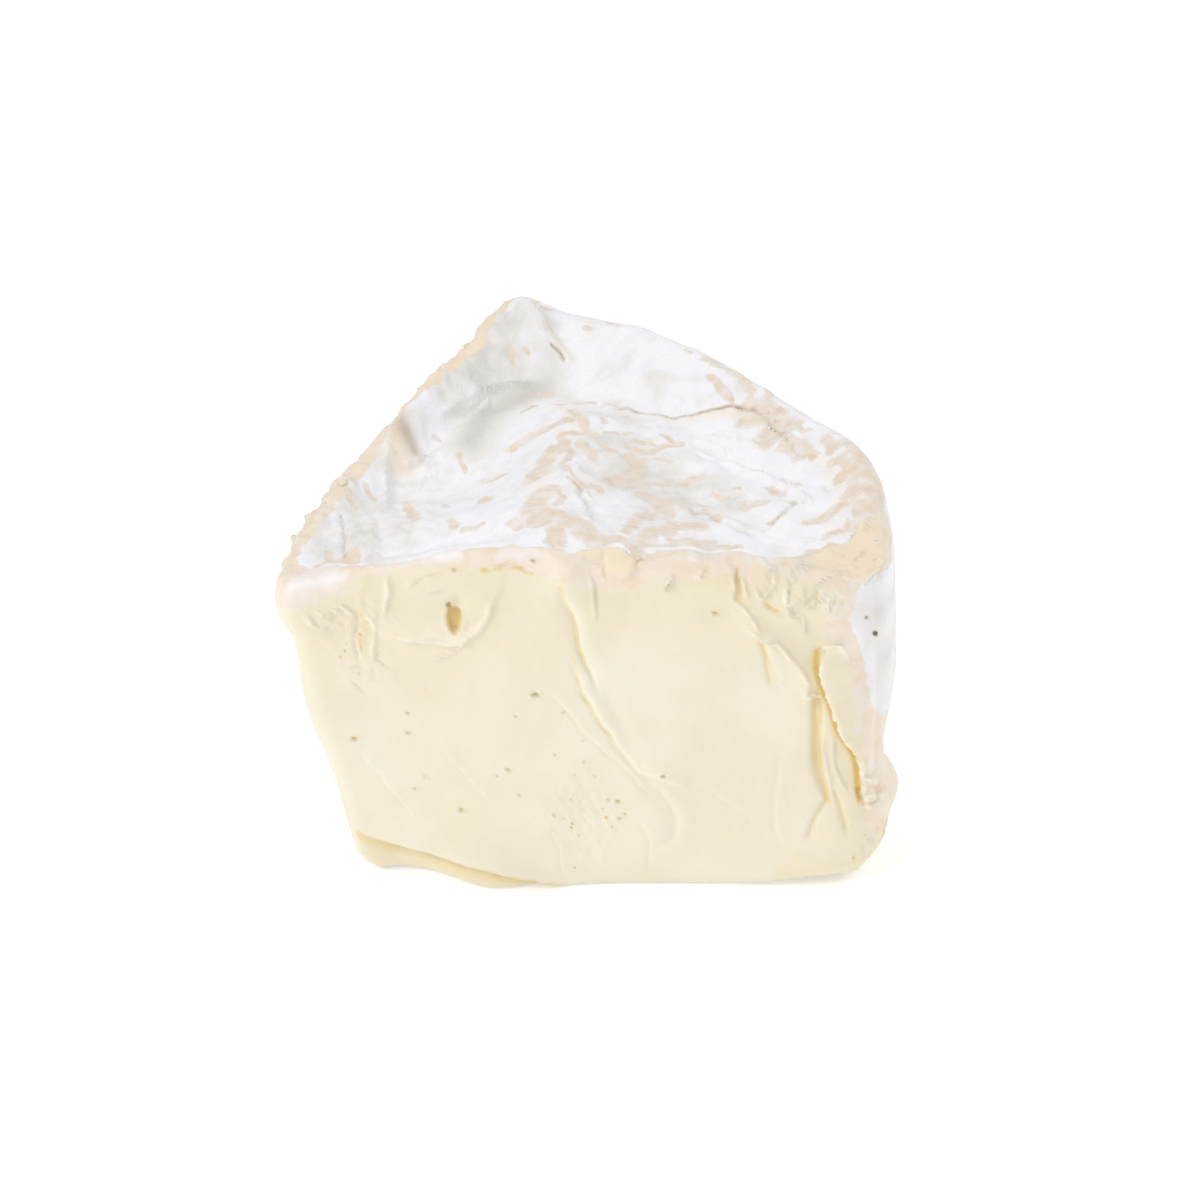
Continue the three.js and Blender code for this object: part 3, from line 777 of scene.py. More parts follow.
LOBES = [  # lobes of soft paste pushed over the edge: middle, half widths, height
    ((32.7, 40.0), (1.5, 1.0), 0.5),
    ((35.1, 38.8), (1.7, 2.4), 0.6),
    ((49.6, 37.3), (1.4, 2.1), 0.3),
    ((52.1, 36.2), (0.75, 1.9), 0.25),
    ((53.7, 35.0), (1.1, 1.9), 0.35),
]
CRAGGY = [  # crumbled rind and paste: middle, half widths, height
    ((57.6, 35.4), (3.8, 3), 0.06),
    ((61, 38.6), (2.6, 2.2), 0.11),
    ((62.9, 12.5), (1.8, 3), 0.12),
    ((8, 33), (4.5, 2.2), 0.1),
    ((31.6, 9), (3.6, 6), 0.06),
]


def lobe_field(x, seen):
    """The lobes, sharp above and at their sides and sinking into the paste below."""
    field = np.zeros(x.shape)
    wx, wy = x + 0.2 * ripple(x, seen, 2.2, 47), seen + 0.2 * ripple(x, seen, 2.2, 48)
    for at, size, height in LOBES:
        rise = smooth(-1.1, 0.3, (seen - at[1]) / size[1])
        field = np.maximum(field, height * rise * smooth(1.2, 0.8, ellipse(wx, wy, at, size)))
    return field


def edge_details(x, y, seen):
    """How far the relief over the front edge stands out."""
    relief = SEEN_LINE_HEIGHT * line_relief(SEEN_LINES, x, seen, 0.06) + lobe_field(x, seen)
    crags = 0.6 * ripple(x + y, seen, 1.5, 45) + 0.6 * ripple(x + y, seen, 0.8, 46)
    there = sum(height * bell(ellipse(x, seen, at, size) ** 2) for at, size, height in CRAGGY)
    return relief + there * crags


# ---------------------------------------------------------------- fine relief of the top
# In plan, in the same way as the lines of the cut.
TOP_LINES = fine_lines(
    # stretch marks and dents near the tip
    (0.3, 0.35, 0, (10.6, 30), (10.7, 25), (11, 19.9), (10.4, 16), (9, 14.2)),
    (0.35, 0.4, 0, (8.6, 16.4), (9.5, 13.4), (10, 8.4), (10.3, 0.6)),
    (0.3, -0.4, 0.3, (6.6, 16), (6.9, 10.6), (7.1, 6)),
    (0.3, -0.3, 0, (4.2, 11.4), (3.1, 8.8), (2.6, 6.6)),
    (0.25, -0.2, 0, (4.2, 11.6), (5.4, 9.9), (6.4, 8.7)),
    (0.9, 0.3, 0, (15.6, 22), (15.1, 18.6), (14.6, 9.9), (12.4, 2)),
    # wrinkles in the pit and the moat
    (0.4, 0.12, 0, (17.5, 39.6), (21.6, 42.5), (24.9, 43.4), (28.6, 42.9)),
    (0.25, 0.25, 0, (18.8, 41), (22.7, 43.1), (26.9, 43.6)),
    (0.25, 0.25, 0, (16.5, 37.2), (18.8, 40.4)),
    (0.25, 0.3, 0, (17.2, 37.2), (19.2, 40.4), (20.8, 42)),
    (0.25, 0.25, 0, (18, 37.8), (20.2, 40.7), (21.8, 42.4)),
    (0.25, 0.3, 0, (17.6, 35.2), (20.1, 37.1), (21.3, 40.8), (22, 42)),
    (0.22, 0.25, 0, (16.1, 36.2), (18.2, 39.4)),
    (0.25, 0.25, 0, (14.6, 27.2), (15.6, 30.6), (16.4, 32.8)),
    (0.25, 0.22, 0, (15.4, 26), (16.2, 30)),
    (0.22, 0.2, 0, (14.4, 23.2), (14.9, 27)),
    (0.3, 0.3, 0.2, (12.4, 27), (13.8, 28.7), (14.9, 31)),
    # the pinched peak's valley, and a slit beside it
    (0.7, -0.3, 0, (23.6, 52), (25.3, 48.3), (26.5, 47), (28.4, 45.4)),
    (0.4, 0.5, 0, (24.9, 52.4), (26.4, 49.6), (27.6, 48)),
    (0.16, -0.2, 0.08, (27.8, 46.9), (28.5, 46.1), (29.1, 45.4), (29.7, 44.8)),
    # the fan of pulled ridges on the plateau
    (0.3, 0.3, 0, (43.6, 30.9), (45.4, 30.1), (47.8, 28)),
    (0.3, 0.3, 0, (44.6, 33), (47.3, 31.3), (50.8, 28)),
    (0.25, 0.25, 0, (45, 31.9), (47.2, 30.5)),
    (0.4, 0.5, 0.2, (45, 27), (48.8, 24.1), (51.9, 20.6), (54.4, 16), (56.3, 12)),
    (0.4, -0.3, 0.2, (45.8, 27.4), (50.4, 24.8), (54.5, 20.7), (59, 15)),
    (0.3, 0.3, 0, (43.6, 28.8), (46.2, 26.8)),
    (0.3, -0.35, 0.25, (54.2, 15.4), (52.2, 11.4), (50.3, 8.3)),
    (0.25, 0.25, 0, (56, 15.2), (54.2, 13.2)),
    (0.35, -0.3, 0.3, (42.4, 14.7), (46, 11.6), (48.6, 9), (49.5, 6.4)),
    (0.35, 0.35, 0, (57.8, 11.2), (59.5, 9.5), (61.2, 7.8)),
    (0.3, 0.3, 0, (56.6, 7.5), (59.4, 8), (61.8, 8.4)),
    (0.3, 0.3, 0, (50.5, 7.7), (53.2, 6.5), (57, 7)),
    # creases down the crest
    (0.3, 0.3, -0.2, (29.2, 20), (30.9, 15.1), (31.6, 11.6), (32.6, 6.6)),
    (0.28, 0.3, 0, (29.3, 21.4), (31.2, 16.9), (33, 13.4)),
    (0.28, 0.3, 0, (29.8, 22.4), (31.9, 18.4), (33.8, 18)),
    # the front lip's sharp edge
    (0.3, -0.35, 0.25, (60, 7.4), (57.3, 5.9), (54.7, 3.9), (50, 2.7), (45.9, 3.6), (37.2, 0.6)),
    (0.28, -0.3, 0.25, (31, 0.2), (27.8, 1.1), (18.1, 1.3), (12.7, 0.6), (6.7, 2.2), (2.2, 3.8)),
)
TOP_LINE_HEIGHT = 1.6
TOP_LINE_WIDTH = 1.1
CRACK = through(  # where the roll along the rind meets the plateau
    (33.4, 39.6), (35.1, 36.6), (39.1, 35.7), (44.2, 35.8), (47.7, 36.9), (49.6, 36),
    (51.2, 33.7), (52.2, 31.3), (53.4, 27.7), (54.3, 25.2), (53.9, 23),
)  # fmt: skip


CRACK_GROOVE = dict(line=CRACK, width=0.28, height=-0.18)
CRACK_STEP = dict(line=CRACK, reach=2, height=0.22, edge=0.2)
TOP_WAVES = 0.1
ROLL_WAVES = 0.08  # more of them on the roll
TOP_WRINKLES = 0.05


def top_details(x, y):
    """How far the fine relief of the top stands out."""
    relief = TOP_LINE_HEIGHT * line_relief(TOP_LINES, x, y, 0.15, TOP_LINE_WIDTH)
    relief += ridge(x, y, **CRACK_GROOVE) + fold(x, y, **CRACK_STEP)
    waves = TOP_WAVES + ROLL_WAVES * smooth(60, 44, y) * smooth(30, 44, x)
    return relief + waves * ripple(x, y, 5, 3) + TOP_WRINKLES * ripple(x, y, 1.8, 4)


# ---------------------------------------------------------------- fields of colour
# Each field runs from 0 to 1 and a material turns it into colour. Strokes have their half
# width first, then their places: in plan on the top, across and up on the front cut.
BAND_EDGE = through(  # foot of the rind's cut edge on the front cut
    (-2, 33.4), (2.1, 34.3), (5.7, 35), (7.2, 36.4), (8.8, 37.6), (12.9, 38.3), (17.6, 39.2),
    (21.7, 38.4), (24.5, 38.7), (28.9, 37.5), (33, 36), (37.6, 36.4), (42.8, 37.6), (50, 38),
    (55.6, 37.4), (59, 35.4), (66, 32.4),
)  # fmt: skip
LIP = through(  # the white bloom starts behind the front edge here
    (2, 4), (6.7, 2.2), (10.2, 0.9), (12.7, 0.6), (18.1, 1.3), (24.2, 1.6), (30.4, 0.3),
    (37.6, 0.8), (39.2, 2.9), (45.9, 3.6), (50, 2.7), (54.7, 3.9), (57.3, 5.9), (59.4, 6.8),
    (61, 9),
)  # fmt: skip
LEFT_BAND = through(  # and behind the second cut's edge
    (23, 52.6), (21.6, 49.2), (21, 46.8), (17.9, 42.6), (16.3, 39.7), (12.6, 34), (10.8, 29),
    (8.8, 22.9), (7.4, 20.2), (5.5, 14.1), (3.1, 8.9), (2.3, 6), (2.2, 3.6),
)  # fmt: skip
SHOULDER_EDGE = through(  # beyond this line the right shoulder is rubbed to tan
    (56.6, 31.5), (58.6, 27.6), (59.3, 23.6), (59.7, 20.8), (58.4, 17.4), (59.6, 15.2),
    (58.6, 14.2), (60.2, 11.8), (59.7, 10.4), (60.9, 9.4), (60.7, 7.8), (58.4, 6.9), (55, 4.8),
)  # fmt: skip
FLAP_SKIN = through(  # the torn flap's own skin lies to the right, across and up on the front cut
    (56.6, 33), (57.2, 30.4), (58.6, 29), (59.2, 27.5), (59.6, 25), (60, 22), (60.7, 18),
    (61.6, 14.6),
)  # fmt: skip
BLOOM_START = through(  # and the bloom of the rind wall to the right of this
    (61.4, 38), (59.8, 34.8), (59.4, 32), (60.3, 30), (61.1, 27), (61.5, 24), (62, 21.5),
    (63.2, 17),
)  # fmt: skip

WORN_STROKES = [
    # down the crest
    (0.5, (25.4, 37.3), (26.4, 38.4)),
    (0.5, (27, 41.7), (28.1, 41.4)),
    (0.3, (29.2, 37.8), (31.1, 38.6), (32.8, 38.7)),
    (0.5, (30.5, 35), (31.4, 31.7), (32, 29.8)),
    (0.3, (33.7, 31.8), (34.1, 30.6)),
    (0.65, (30.2, 31.9), (27.9, 31), (26.1, 30.7), (24.2, 29.7)),
    (0.45, (29.5, 28.9), (31, 28.8)),
    (0.5, (31.5, 28.9), (32.9, 28.1)),
    (0.22, (33.8, 28.8), (35.3, 28.9)),
    (0.3, (36.1, 29.5), (36.7, 29.5)),
    (0.55, (29.4, 28.6), (29.9, 25.6), (30.5, 23.7), (29.8, 22)),
    (0.5, (31.3, 26.8), (32.1, 25.2), (32.9, 23.3)),
    (0.33, (33.5, 26.4), (34.5, 25.2), (35.2, 25)),
    (1.0, (28.9, 25.7), (27.8, 23.3), (27, 20.7), (26.3, 18.4)),
    (1.1, (28.3, 14.8), (26.9, 12.2), (26.4, 8.8)),
    (0.4, (28.5, 15.4), (29.6, 13), (29, 10.6)),
    (1.35, (27.4, 8.6), (30.4, 6.4), (32, 4.4), (33.5, 2.4)),
    (0.9, (25, 7.8), (27.6, 5.9)),
    (1.0, (29, 4.6), (29, 1.6), (29.1, -0.6)),
    (0.25, (29.4, 20.8), (30.9, 18.1), (32.6, 16.1)),
    (0.35, (30, 18.2), (31.7, 15.6)),
    (0.45, (32.4, 17.4), (33.7, 15.7)),
    # over the plateau
    (0.38, (37.4, 28), (39, 28)),
    (0.28, (36.3, 26.3), (37.3, 26.7)),
    (0.42, (40.1, 29.8), (41.3, 28.7)),
    (0.45, (36.1, 24.6), (37.9, 26.2), (39.9, 27.3), (42.2, 28.6)),
    (0.28, (37.4, 24.1), (39.3, 25.3), (41, 24.8)),
    (0.95, (37.3, 24), (37.5, 22.3), (36.7, 20.7), (34.7, 18.6)),
    (0.48, (36.9, 18.9), (38.4, 20)),
    (0.52, (39.1, 20), (41.2, 20.6)),
    (0.48, (41.3, 20.8), (42.6, 21.6)),
    (0.48, (42.9, 21.8), (44.2, 22.2)),
    (0.8, (37.9, 17), (39.5, 16.1), (40.5, 13)),
    (0.85, (38.8, 13), (37.5, 10.4), (36.3, 6.6)),
    (0.42, (40.8, 15.8), (42.5, 14.8)),
    (0.52, (44.7, 13.9), (45.9, 12.1)),
    (1.05, (40.3, 7.8), (41.4, 10.2), (43.5, 9.8)),
    (1.0, (38.9, 7.6), (37.7, 4.5), (37.2, 2.4), (37.8, 0.6)),
    (0.45, (38.4, 4), (42.8, 4.9), (48, 4.8)),
    (0.7, (41, 6), (45, 6.2)),
    (0.75, (33.8, 3.2), (35.3, 4.4), (36.3, 2.4)),
    (0.75, (48.5, 15), (50.5, 15.3)),
    (0.42, (45.4, 19), (46.7, 17.3)),
    (0.3, (47.9, 19.1), (48.1, 18.7)),
    (0.55, (51.2, 19.9), (52.5, 17.4)),
    (0.42, (53.6, 15), (53.9, 14.2)),
    (0.4, (52.7, 11.9), (51.3, 10.5)),
    (0.33, (52.6, 21.8), (54.4, 19.3)),
    # beside the crack under the roll
    (1.15, (49.3, 33.4), (51.1, 34.2)),
    (1.35, (51.1, 29.4), (52.1, 31.5), (53.5, 29.7)),
    (1.05, (53.4, 27), (54.8, 24.8)),
    (0.5, (55.1, 25.4), (56.1, 23.5)),
    (0.28, (54.5, 29.2), (55.4, 28.1)),
    (0.75, (49.3, 36.5), (52, 34)),
    (0.42, (47, 37.9), (47.4, 37.6)),
    (0.45, (45.4, 39.9), (46.3, 38.2)),
    (0.48, (47.6, 40.2), (48.8, 38.9)),
    (0.42, (45.8, 41.6), (47.1, 41)),
    (0.52, (44.7, 42.9), (46, 42.8)),
    (0.55, (57.3, 25.8), (57.8, 23.6), (58.7, 23)),
    (0.52, (57.9, 21.4), (59.2, 19.9)),
    (0.65, (59, 12.8), (57.2, 11.7), (54.9, 10.3)),
    (0.65, (60.1, 8.8), (58.4, 8.5), (57, 7.6)),
    # round the bowl and the tip
    (0.42, (6.5, 19.4), (7.7, 16.5)),
    (0.42, (8.8, 21.4), (9.7, 19)),
    (0.52, (13.2, 19.2), (14.4, 12.3)),
    (0.25, (12.5, 11.3), (13.7, 9.5)),
    (0.42, (17.2, 18.3), (17.3, 16.9)),
    (0.5, (18, 11.5), (18.3, 9.8)),
    (0.4, (19.3, 8.8), (21, 8.8)),
    (0.28, (18.5, 30.9), (19.3, 27.4)),
    (0.75, (21.5, 24), (23.2, 24)),
    (0.7, (21.4, 16.7), (21.6, 15.9)),
    (0.35, (15.8, 33.8), (16.3, 33.6)),
    (0.95, (7.7, 7), (7.7, 5.8)),
    (0.33, (5.3, 7.7), (5.6, 4.9)),
    (0.33, (6.3, 5.7), (4.1, 4)),
    (0.3, (23.6, 47.3), (24.3, 45.6)),
    (0.22, (25.1, 46.9), (25.8, 46.7)),
    (0.3, (27.3, 50.5), (28.1, 48.8)),
]
ROLL_MOTTLES = 44
ROLL_ANGLES = (0.42, 1.36)  # round the wheel, in radians
ROLL_WIDTH = 5.4
WALL_MOTTLES = 46
LEAST_GRAIN = 0.12
STAIN_AND_SHADE_STROKES = [  # half width, how dark, places: brown in the pit, the slit and the crack, partly painted shade in these recesses
    (0.16, 0.8, (28, 46.5), (28.6, 45.9), (29.6, 44.9)),
    (0.3, 0.6, (35.5, 36.3), (37.3, 35.9), (39.6, 35.7)),
    (0.2, 0.4, (33.8, 38.8), (35.5, 36.4)),
    (0.3, 0.6, (39.4, 35.7), (44.4, 35.8)),
    (0.3, 0.7, (44, 35.8), (45.6, 36.4), (47.6, 36.8)),
    (0.16, 0.9, (48, 36.7), (48.6, 36.5)),
    (0.25, 0.6, (49.6, 35.8), (50.8, 34.4)),
    (0.2, 0.5, (51.2, 33.6), (52.2, 31.2), (53.2, 28.2)),
    (0.2, 0.4, (53.8, 26.8), (54.3, 25), (54, 23.6)),
    (0.25, 0.5, (6.5, 14.6), (6.8, 10.6), (7, 7)),
    (0.25, 0.4, (54.1, 15.2), (52.3, 11.6), (50.6, 8.6)),
    (0.3, 0.5, (43, 14.4), (46, 11.6)),
]
PIT_STAINS_AND_SHADE = [  # soft brown in the pit and the dents, partly painted shade: how dark, middle, half widths, turn
    (0.6, (12.6, 32.2), (1.8, 3.4), 25),
    (0.6, (13.5, 31), (0.9, 2.2), 20),
    (0.4, (7.9, 9.7), (0.8, 0.9), 0),
    (0.45, (7.7, 20.6), (0.6, 1.3), 0),
    (0.3, (17.6, 22.5), (0.7, 1.0), 0),
    (0.3, (12.4, 11.6), (0.6, 1.2), 0),
]
CREAM_STROKES = [  # cream tints on the bloom: half width, how strong, places
    (1.7, 1.0, (9.8, 33), (11.6, 31), (12.2, 27.6)),
    (1.1, 0.7, (43, 34.9), (47.6, 35.8), (50, 33.8)),
    (0.8, 0.5, (36, 35.2), (40, 34.7), (44, 34.9)),
    (0.3, 1.0, (28.8, 47), (29.7, 46.3), (30.5, 45.3)),
    (0.8, 0.6, (28.6, 38), (30.4, 34), (31, 30)),
    (1.3, 0.5, (27.4, 20), (27.2, 14), (28.4, 8)),
    (1.2, 0.5, (56.6, 22), (58.8, 16), (58, 10)),
]
THIN_AND_SHADED_PLACES = [  # where the bloom is thin and grey, and painted shade on the peak's face and in the moat: how much, middle, half widths, turn
    (0.85, (21.5, 48), (8, 7), 60),
    (0.6, (20, 41.5), (8, 3.4), 15),
    (0.7, (7, 12), (8, 14), 0),
    (0.2, (14, 24), (5, 10), 0),
    (0.7, (36, 24), (7, 13), 0),
    (0.6, (44, 17), (9, 9), 0),
    (0.45, (52, 38), (8, 4), -50),
    (0.4, (33, 7), (5, 4), 0),
    (-0.7, (47, 29), (6, 5), -30),
    (-0.6, (55, 18), (4, 9), -30),
    (-0.5, (35, 11), (3, 5), 0),
]
# The painted shade along the moat, and the yellowed rind along the second cut's rim
MOAT_SHADE_LINE = through((32, 42.6), (27, 42.2), (22.6, 40), (20.2, 35), (18.6, 28))
YELLOW_EDGE = through((23.4, 54), (22.4, 50.6), (20.6, 46.6), (18.6, 43.4), (15.6, 38.8), (13, 34.6))

RIPE_AND_SHADE_STROKES = [  # half width, how ripe, places; in the groove and in the pits beside the lobe it is golden painted shade
    (0.35, 0.5, (56.0, 23.2), (56.0, 18), (56.2, 14.5)),
    (0.22, 0.65, (56.3, 22.6), (56.3, 18), (56.5, 14.5)),
    (0.7, 0.25, (0.5, 34), (3, 34.3), (6, 34.2), (8.6, 35)),
    (0.8, 0.3, (6, 30.6), (9, 31.6), (9.6, 29)),
    (0.25, 0.6, (56.3, 15.4), (56.9, 12.2), (57.4, 10.4)),
    (0.15, 0.4, (57.3, 10.6), (56.1, 8.6), (55.4, 6.4)),
    (0.15, 0.4, (57.8, 11.6), (58.5, 10.4), (58.9, 8.6), (59.3, 6.8)),
    (0.25, 0.5, (47.6, 38.6), (47.7, 36.8), (47.8, 34.9)),
    (0.2, 0.8, (38.4, 40.1), (37.5, 39.5), (37, 38.7)),
    (0.15, 0.7, (36, 40.1), (36.5, 39.8)),
    (0.2, 0.35, (33, 36.4), (33.1, 34.6), (33.1, 32.4)),
    (0.2, 0.7, (21.4, 38.3), (23.2, 38.6), (24.2, 38.8), (26.4, 38)),
    (0.4, 0.42, (8.6, 33.4), (9, 31.6), (9, 29.4)),
    (0.3, 0.35, (5.9, 32.8), (7.3, 31.2)),
    (0.15, 0.6, (8.5, 30.6), (8.6, 28.4)),
    (0.35, 0.35, (9.8, 37.6), (9, 35.4)),
    (0.2, 0.5, (29.2, 36.4), (30.8, 32.5), (31.4, 29), (32.4, 26.4)),
    (0.16, 0.45, (30.7, 28), (31.7, 24), (33.5, 20.4), (36.1, 16.1)),
    (0.3, 0.25, (16, 30.2), (12.4, 30.6)),
    (0.2, 0.3, (50, 30.9), (50.7, 28.4), (51.9, 25.4)),
    (0.22, 0.4, (50.5, 34.8), (51.2, 33.7), (52.3, 33)),
    (0.4, 0.6, (61.1, 11.2), (61.8, 8.8), (62.4, 6.4)),
    (0.5, 0.3, (52.4, 2.4), (56.6, 2.6)),
    (0.3, 0.5, (12.6, 3.2), (15.6, 2.4), (18.6, 1.8)),
]
SPOT_PLACES = [  # brown spots, and painted shade in pores and small holes, as seen: place, half width, how dark
    ((36.2, 39.9), 0.25, 1.0),
    ((55.8, 35.4), 0.3, 0.35),
    ((59.9, 39.6), 0.45, 0.5),
    ((60.7, 40.4), 0.4, 0.5),
    ((61, 32.7), 0.24, 0.9),
    ((62, 30.8), 0.26, 2.2),
    ((60.6, 11.2), 0.5, 0.5),
    ((61.2, 10), 0.4, 0.5),
]
WHITE_PATCHES = [  # bloom dragged down over the cut: half width, how white, places
    (0.8, 0.65, (2.4, 36.6), (4.4, 36.8), (6.4, 37.4)),
    (0.5, 0.4, (1.6, 35.6), (3, 35.6)),
    (0.6, 0.7, (10, 38.9), (14, 39.6), (19, 39.9)),
    (0.5, 0.5, (23, 40), (27, 40.2)),
    (0.5, 0.6, (43, 39.4), (46.4, 39.4)),
    (0.4, 0.5, (49, 39), (52, 38.6)),
]

SCRATCHES = [  # crumbly places on the front cut: middle across and up, half widths
    ((8, 29), (3, 3.4)),
    ((31.6, 9), (4, 6.4)),
    ((10.6, 26), (1.8, 1.6)),
    ((57, 35.6), (3, 1.8)),
    ((62, 4), (2, 2.4)),
]


def strongest(*fields):
    """The highest of several fields at every point."""
    return np.maximum.reduce(fields)


def stroke(x, y, half, line):
    """1 along a stroke's middle, one half at its edge and 0 twice as far out."""
    return near_line(line, x, y, 2.2 * half, lambda d, a, s: clamp01(1 - 0.5 * d / half))


def strokes(x, y, marks, gain=1.0):
    """The strongest of some strokes, each given as its half width, strength and places."""
    field = np.zeros(x.shape)
    for half, much, *places in marks:
        field = np.maximum(field, much * clamp01(gain * stroke(x, y, half, through(*places))))
    return field


def side_of(line, x, y):
    """Signed distance from a line, positive on its left."""
    distance, _, side = nearest(line, x, y)
    return distance * side


def wandered(x, y, size, amount, seed):
    """The same places moved about a little, so that what is drawn there gets uneven edges."""
    return x + amount * ripple(x, y, size, seed), y + amount * ripple(x, y, size, seed + 1)


def below_flap_top(x, z):
    return smooth(FLAP_TOP + 0.5, FLAP_TOP - 0.1, z) * smooth(8, 11, z)


def in_pores(x, y, pores, tightness):
    """1 in the middle of each small hole."""
    shapes = (ellipse(x, y, (across, up), (half, 0.8 * half)) for across, up, half in pores)
    return strongest(*(bell(tightness * shape) for shape in shapes))


def in_gas_hole(x, z, tightness):
    return clamp01(sum(bell(tightness * ellipse(x, z, at, size)) for at, size in GAS_HOLE))


def roll_mottles(x, y, rng):
    """Small flecks along the outer side of the roll."""
    field = np.zeros(x.shape)
    for _ in range(ROLL_MOTTLES):
        angle = rng.uniform(*ROLL_ANGLES)
        from_centre = WHEEL_RADIUS - ROLL_WIDTH * rng.uniform(0, 1) ** 1.6
        middle = WHEEL_CENTRE + from_centre * np.array([math.cos(angle), math.sin(angle)])
        reach = rng.uniform(0.2, 1) * np.array([-math.sin(angle), math.cos(angle)])
        half = rng.uniform(0.22, 0.42)
        field = np.maximum(field, stroke(x, y, half, through(middle - reach, middle + reach)))
    return field


def wall_mottles(along, up, rng):
    """Rubbed spots on the rind wall, and the one beside the torn corner."""
    field = clamp01(1.1 - 0.5 * ellipse(along, up, (4.8, 28.2), (1.2, 1.2)))
    for _ in range(WALL_MOTTLES):
        at = rng.uniform(8, 78), rng.uniform(1, 36)
        spot = ellipse(along, up, at, rng.uniform(0.4, 1.6, 2), rng.uniform(0, 180))
        field = np.maximum(field, clamp01(1 - 0.5 * spot))
    return field


def worn_field(x, y, known):
    """Where the bloom is rubbed through to the beige skin below it."""
    crown, along, up = known["crown"], known["along_rind"], known["height"]
    wx, wy = wandered(x, y, 2.2, 0.16, 51)
    rng = np.random.default_rng(11)
    top = strokes(wx, wy, [(half, 1, *places) for half, *places in WORN_STROKES])
    top = np.maximum(top, roll_mottles(wx, wy, rng)) * smooth(0.2, 0.8, crown)
    wall = wall_mottles(along, up, rng)
    wall *= smooth(0.3, 0.9, known["wall"]) * smooth(0.9, 0.4, crown)

    shoulder = smooth(-0.5, 0.4, side_of(SHOULDER_EDGE, x, y) + 0.4 * ripple(x, y, 2.4, 8))
    shoulder *= smooth(53, 56, x) * smooth(0, 0.6, crown - 0.1 * ripple(x, y, 4, 2))
    hip = smooth(36, 37.2, up + 0.7 * ripple(along, up, 5, 2)) * smooth(-4, 0, along)
    hip *= smooth(17, 11, along) * smooth(5, 3, known["inside"])
    return strongest(top, wall, shoulder, hip)


def stain_and_shade_field(x, y, z, known):
    """Brown stain and painted shade in the deepest places of the rind, and dark gold painted shade
    in those of the paste.
    """
    wx, wy = wandered(x, y, 2.5, 0.2, 61)
    pits = (mound(wx, wy, at, size, dark, turn) for dark, at, size, turn in PIT_STAINS_AND_SHADE)
    top = strongest(strokes(wx, wy, STAIN_AND_SHADE_STROKES), *pits) * smooth(0.3, 0.8, known["crown"])

    below_top = smooth(0.6, 0.2, known["crown"])
    # painted shade: darker towards the top of the gas hole
    hole = 0.55 * in_gas_hole(x, z, 0.9) * smooth(31.6, 34, z)
    # dark gold painted shade in the pores
    pores = 0.8 * in_pores(x, z, PORES, 0.75)
    # painted shadow in the gap beside the torn flap
    gap = 0.62 * beside(TEAR_EDGE, x, z, -0.5, 0.5) * below_flap_top(x, z)
    front = known["front"] * strongest(pores * below_top, hole * below_top, gap)
    # painted shade in the second cut's pores
    left = 0.7 * in_pores(known["from_tip"], known["height"], LEFT_PORES, 0.8)
    left *= known["left"] * below_top

    seen = seen_height(y, z)
    around = ((dark, ellipse(x, seen, at, (half, half))) for at, half, dark in SPOT_PLACES)
    spots = strongest(*(dark * smooth(1.5, 0.6, distance) for dark, distance in around))
    return strongest(top, front, left, spots * strongest(known["front"], torn_corner(x, y)))


def thin_and_shaded_field(x, y, known):
    """Where the bloom is thin and greyer, with painted shade darkest along the moat and in the top's
    hollows, and the rind wall grey all over.
    """
    field = sum(mound(x, y, at, size, much, turn) for much, at, size, turn in THIN_AND_SHADED_PLACES)
    field = clamp01(field + 0.22 * ripple(x, y, 5, 71) + 0.12 * ripple(x, y, 1.7, 72))
    # painted shade: darker bloom along the moat and in the top's hollows
    moat_shade = ridge(x, y, MOAT_SHADE_LINE, 3, 0.9)
    on_top = strongest(0.75 * field, moat_shade, 0.45 * known["hollow"])
    on_wall = 0.38 + 0.15 * ripple(known["along_rind"], known["height"], 6, 73)
    return mix(on_wall, on_top, smooth(0.3, 1, known["crown"]))


def ripe_and_shaded_cuts(x, z, known, front):
    """Where the paste of the cuts is riper, moister and yellower, with golden painted shade in
    hollows, in the gap beside the flap and just under the lower edge.
    """
    wx, wz = wandered(x, z, 3, 0.1, 81)
    lip = near_line(LEANING_LIP, x, z, 30, lambda d, a, s: smooth(-0.2, 0.3, d * s))
    # the base rind below the lower edge, and painted shade in a band just under that edge
    lip = 0.33 * lip + 0.27 * beside(LEANING_LIP, x, z, 0.5, 0.6, reach=30)
    smear = near_line(SMEAR_EDGE, x, z, 12, lambda d, a, s: smooth(-0.3, 0.4, d * s) * bell(d / 9))
    field = strongest(
        strokes(wx, wz, RIPE_AND_SHADE_STROKES, gain=2),
        # golden painted shadow in the gap beside the torn flap
        0.9 * beside(TEAR_EDGE, x, z, -0.45, 0.6) * below_flap_top(x, z),
        smooth(36, 28, x) * lip,
        0.8 * in_gas_hole(x, z, 0.8),
        0.24 * smear,
        # bands at the top, the foot and the right of the cut
        0.3 * smooth(34, 37, z) * smooth(31, 36, x),
        0.24 * smooth(24, 34, z),
        0.12 * smooth(3.2, 0, z) * smooth(24, 34, x),
        0.26 * smooth(50, 60, x) * smooth(34, 28, z),
        0.3 * smooth(50, 56, x) * smooth(8, 3, z),
    )
    patches = 0.1 + 0.07 * ripple(known["from_tip"], known["height"], 14, 83)
    # golden painted shade in hollows, strongest at the right
    creases = mix(0.55, 1.1, smooth(46, 50, x)) * known["hollow"]
    return strongest(field * front, creases, patches * known["left"])


